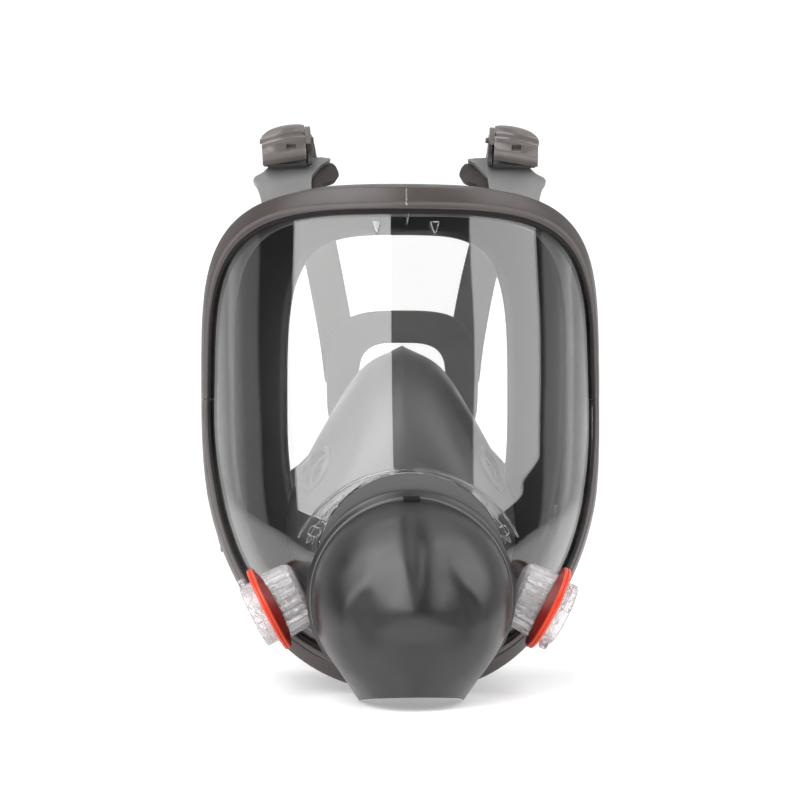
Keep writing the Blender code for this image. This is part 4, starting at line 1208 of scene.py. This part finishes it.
# ---- finishes of the carried-over CAD nodes -----------------------------------------------------------
def finish_cad():
    """The CAD's own small parts stay as they are, with softened edges and a finish each."""
    finishes = {
        "center_adapter": DARK_MAT, "port_seat_": DARK_MAT, "nose_cup_seat_": DARK_MAT,
        "inhalation_valve_": VALVE_MAT, "nose_cup_valve_": DARK_MAT, "exhalation_valve": VALVE_MAT,
        "frame_screw_": STEEL_MAT, "frame_nut_": STEEL_MAT, "buckle_pin_": STEEL_MAT,
    }
    for name, obj in frame["nodes"].items():
        for prefix, mat in finishes.items():
            if name.startswith(prefix):
                obj.data.materials.clear()
                obj.data.materials.append(mat)
                bevel(obj, 0.3 * MM, 2)


# ---- stage, lights and camera -------------------------------------------------------------------------
def backdrop():
    """A pale floor that sweeps up behind the mask."""
    rows = []
    profile = [Vector((0, -4.0, 0)), Vector((0, 1.2, 0))]
    for k in range(1, 13):
        turn = math.radians(90 * k / 12)
        profile.append(Vector((0, 1.2 + 0.8 * math.sin(turn), 0.8 - 0.8 * math.cos(turn))))
    profile.append(Vector((0, 2.0, 3.2)))
    for x in (-4.0, -2.0, 0.0, 2.0, 4.0):
        rows.append([p + Vector((x, 0, 0)) for p in profile])
    shader = Shader("backdrop_paper", (0.90, 0.90, 0.90), 0.7)
    cloud = shader.remap(shader.noise(6.0), 0.0, 1.0)
    shader.use(shader.blend(cloud, (0.89, 0.89, 0.89), (0.91, 0.91, 0.91)), "Base Color")
    shader.bsdf.inputs["Emission Color"].default_value = (1, 1, 1, 1)
    shader.bsdf.inputs["Emission Strength"].default_value = 0.35
    mesh = bpy.data.meshes.new("backdrop")
    bm = grid_mesh(rows, False)
    bm.to_mesh(mesh)
    bm.free()
    mesh.shade_smooth()
    mesh.materials.append(shader.mat)
    obj = bpy.data.objects.new("backdrop", mesh)
    bpy.context.scene.collection.objects.link(obj)


def area_light(name, width, height, radiance):
    data = bpy.data.lights.new(name, "AREA")
    data.shape = "RECTANGLE"
    data.size = width
    data.size_y = height
    data.energy = radiance * math.pi * width * height
    obj = bpy.data.objects.new(name, data)
    bpy.context.scene.collection.objects.link(obj)
    return obj


def softbox(name, azimuth, width, radiance):
    """An upright softbox facing the mask; azimuth counts in degrees from the mask's front towards +X."""
    distance, low, high = 1.3, 0.42, 2.2
    turn = math.radians(azimuth)
    away = Vector((math.sin(turn), -math.cos(turn), 0))
    obj = area_light(name, width, high - low, radiance)
    obj.location = away * distance + Vector((0, 0, (low + high) / 2))
    obj.rotation_mode = "QUATERNION"
    obj.rotation_quaternion = away.to_track_quat("Z", "Y")


def overhead(name, x, radiance):
    """A soft panel above the front of the mask, facing down."""
    area_light(name, 0.8, 1.4, radiance).location = (x, -0.55, 1.75)


def world():
    """Bright behind the mask and grey in front of it, so that the visor shows the softboxes."""
    sky = bpy.data.worlds.new("studio")
    sky.use_nodes = True
    nodes, links = sky.node_tree.nodes, sky.node_tree.links
    coords = nodes.new("ShaderNodeTexCoord")
    split = nodes.new("ShaderNodeSeparateXYZ")
    total = nodes.new("ShaderNodeMath")
    total.operation = "ADD"
    links.new(coords.outputs["Generated"], split.inputs["Vector"])
    links.new(map_range(sky.node_tree, split.outputs["Y"], 0.07, 0.62, -0.05, -0.03), total.inputs[0])
    links.new(map_range(sky.node_tree, split.outputs["Y"], 0.0, 1.0, 0.18, 0.55), total.inputs[1])
    links.new(total.outputs["Value"], nodes["Background"].inputs["Strength"])
    nodes["Background"].inputs["Color"].default_value = (1, 1, 1, 1)
    bpy.context.scene.world = sky


def camera():
    """Level with the middle of the visor, a little to its left."""
    distance, yaw, height = 0.97, math.radians(2.6), 0.1188
    side_plane = SHIFT.y + 61.0 * MM
    data = bpy.data.cameras.new("camera")
    data.sensor_width = 36.0
    data.lens = 100.8
    data.clip_start = 0.01
    obj = bpy.data.objects.new("camera", data)
    obj.location = (-distance * math.sin(yaw) - 0.6 * MM, side_plane - distance * math.cos(yaw), height)
    obj.rotation_euler = (math.radians(90), 0, -yaw)
    bpy.context.scene.collection.objects.link(obj)
    bpy.context.scene.camera = obj


camera()
world()
backdrop()
softbox("softbox_left", -34.2, 1.41, 4.2)
softbox("softbox_right", 61.0, 1.02, 3.0)
overhead("softbox_top_left", -0.62, 2.34)
overhead("softbox_top_right", 0.62, 1.30)
bpy.context.scene.view_settings.view_transform = "Standard"

visor()
cheek_ports()
visor_beads()
visor_marks()
visor_lugs()
frame_band("visor_frame_upper", RING[:HALF + 1], 1.0, "frame_upper")
frame_band("visor_frame_lower", RING[HALF:] + RING[:1], -1.0, "frame_lower")
frame_glint_fin()
frame_lugs()
face_seal()
nose_cup()
front_cover()
buckle_bodies()
buckle_levers()
strap_tabs()
harness_straps()
harness_crown()
finish_cad()
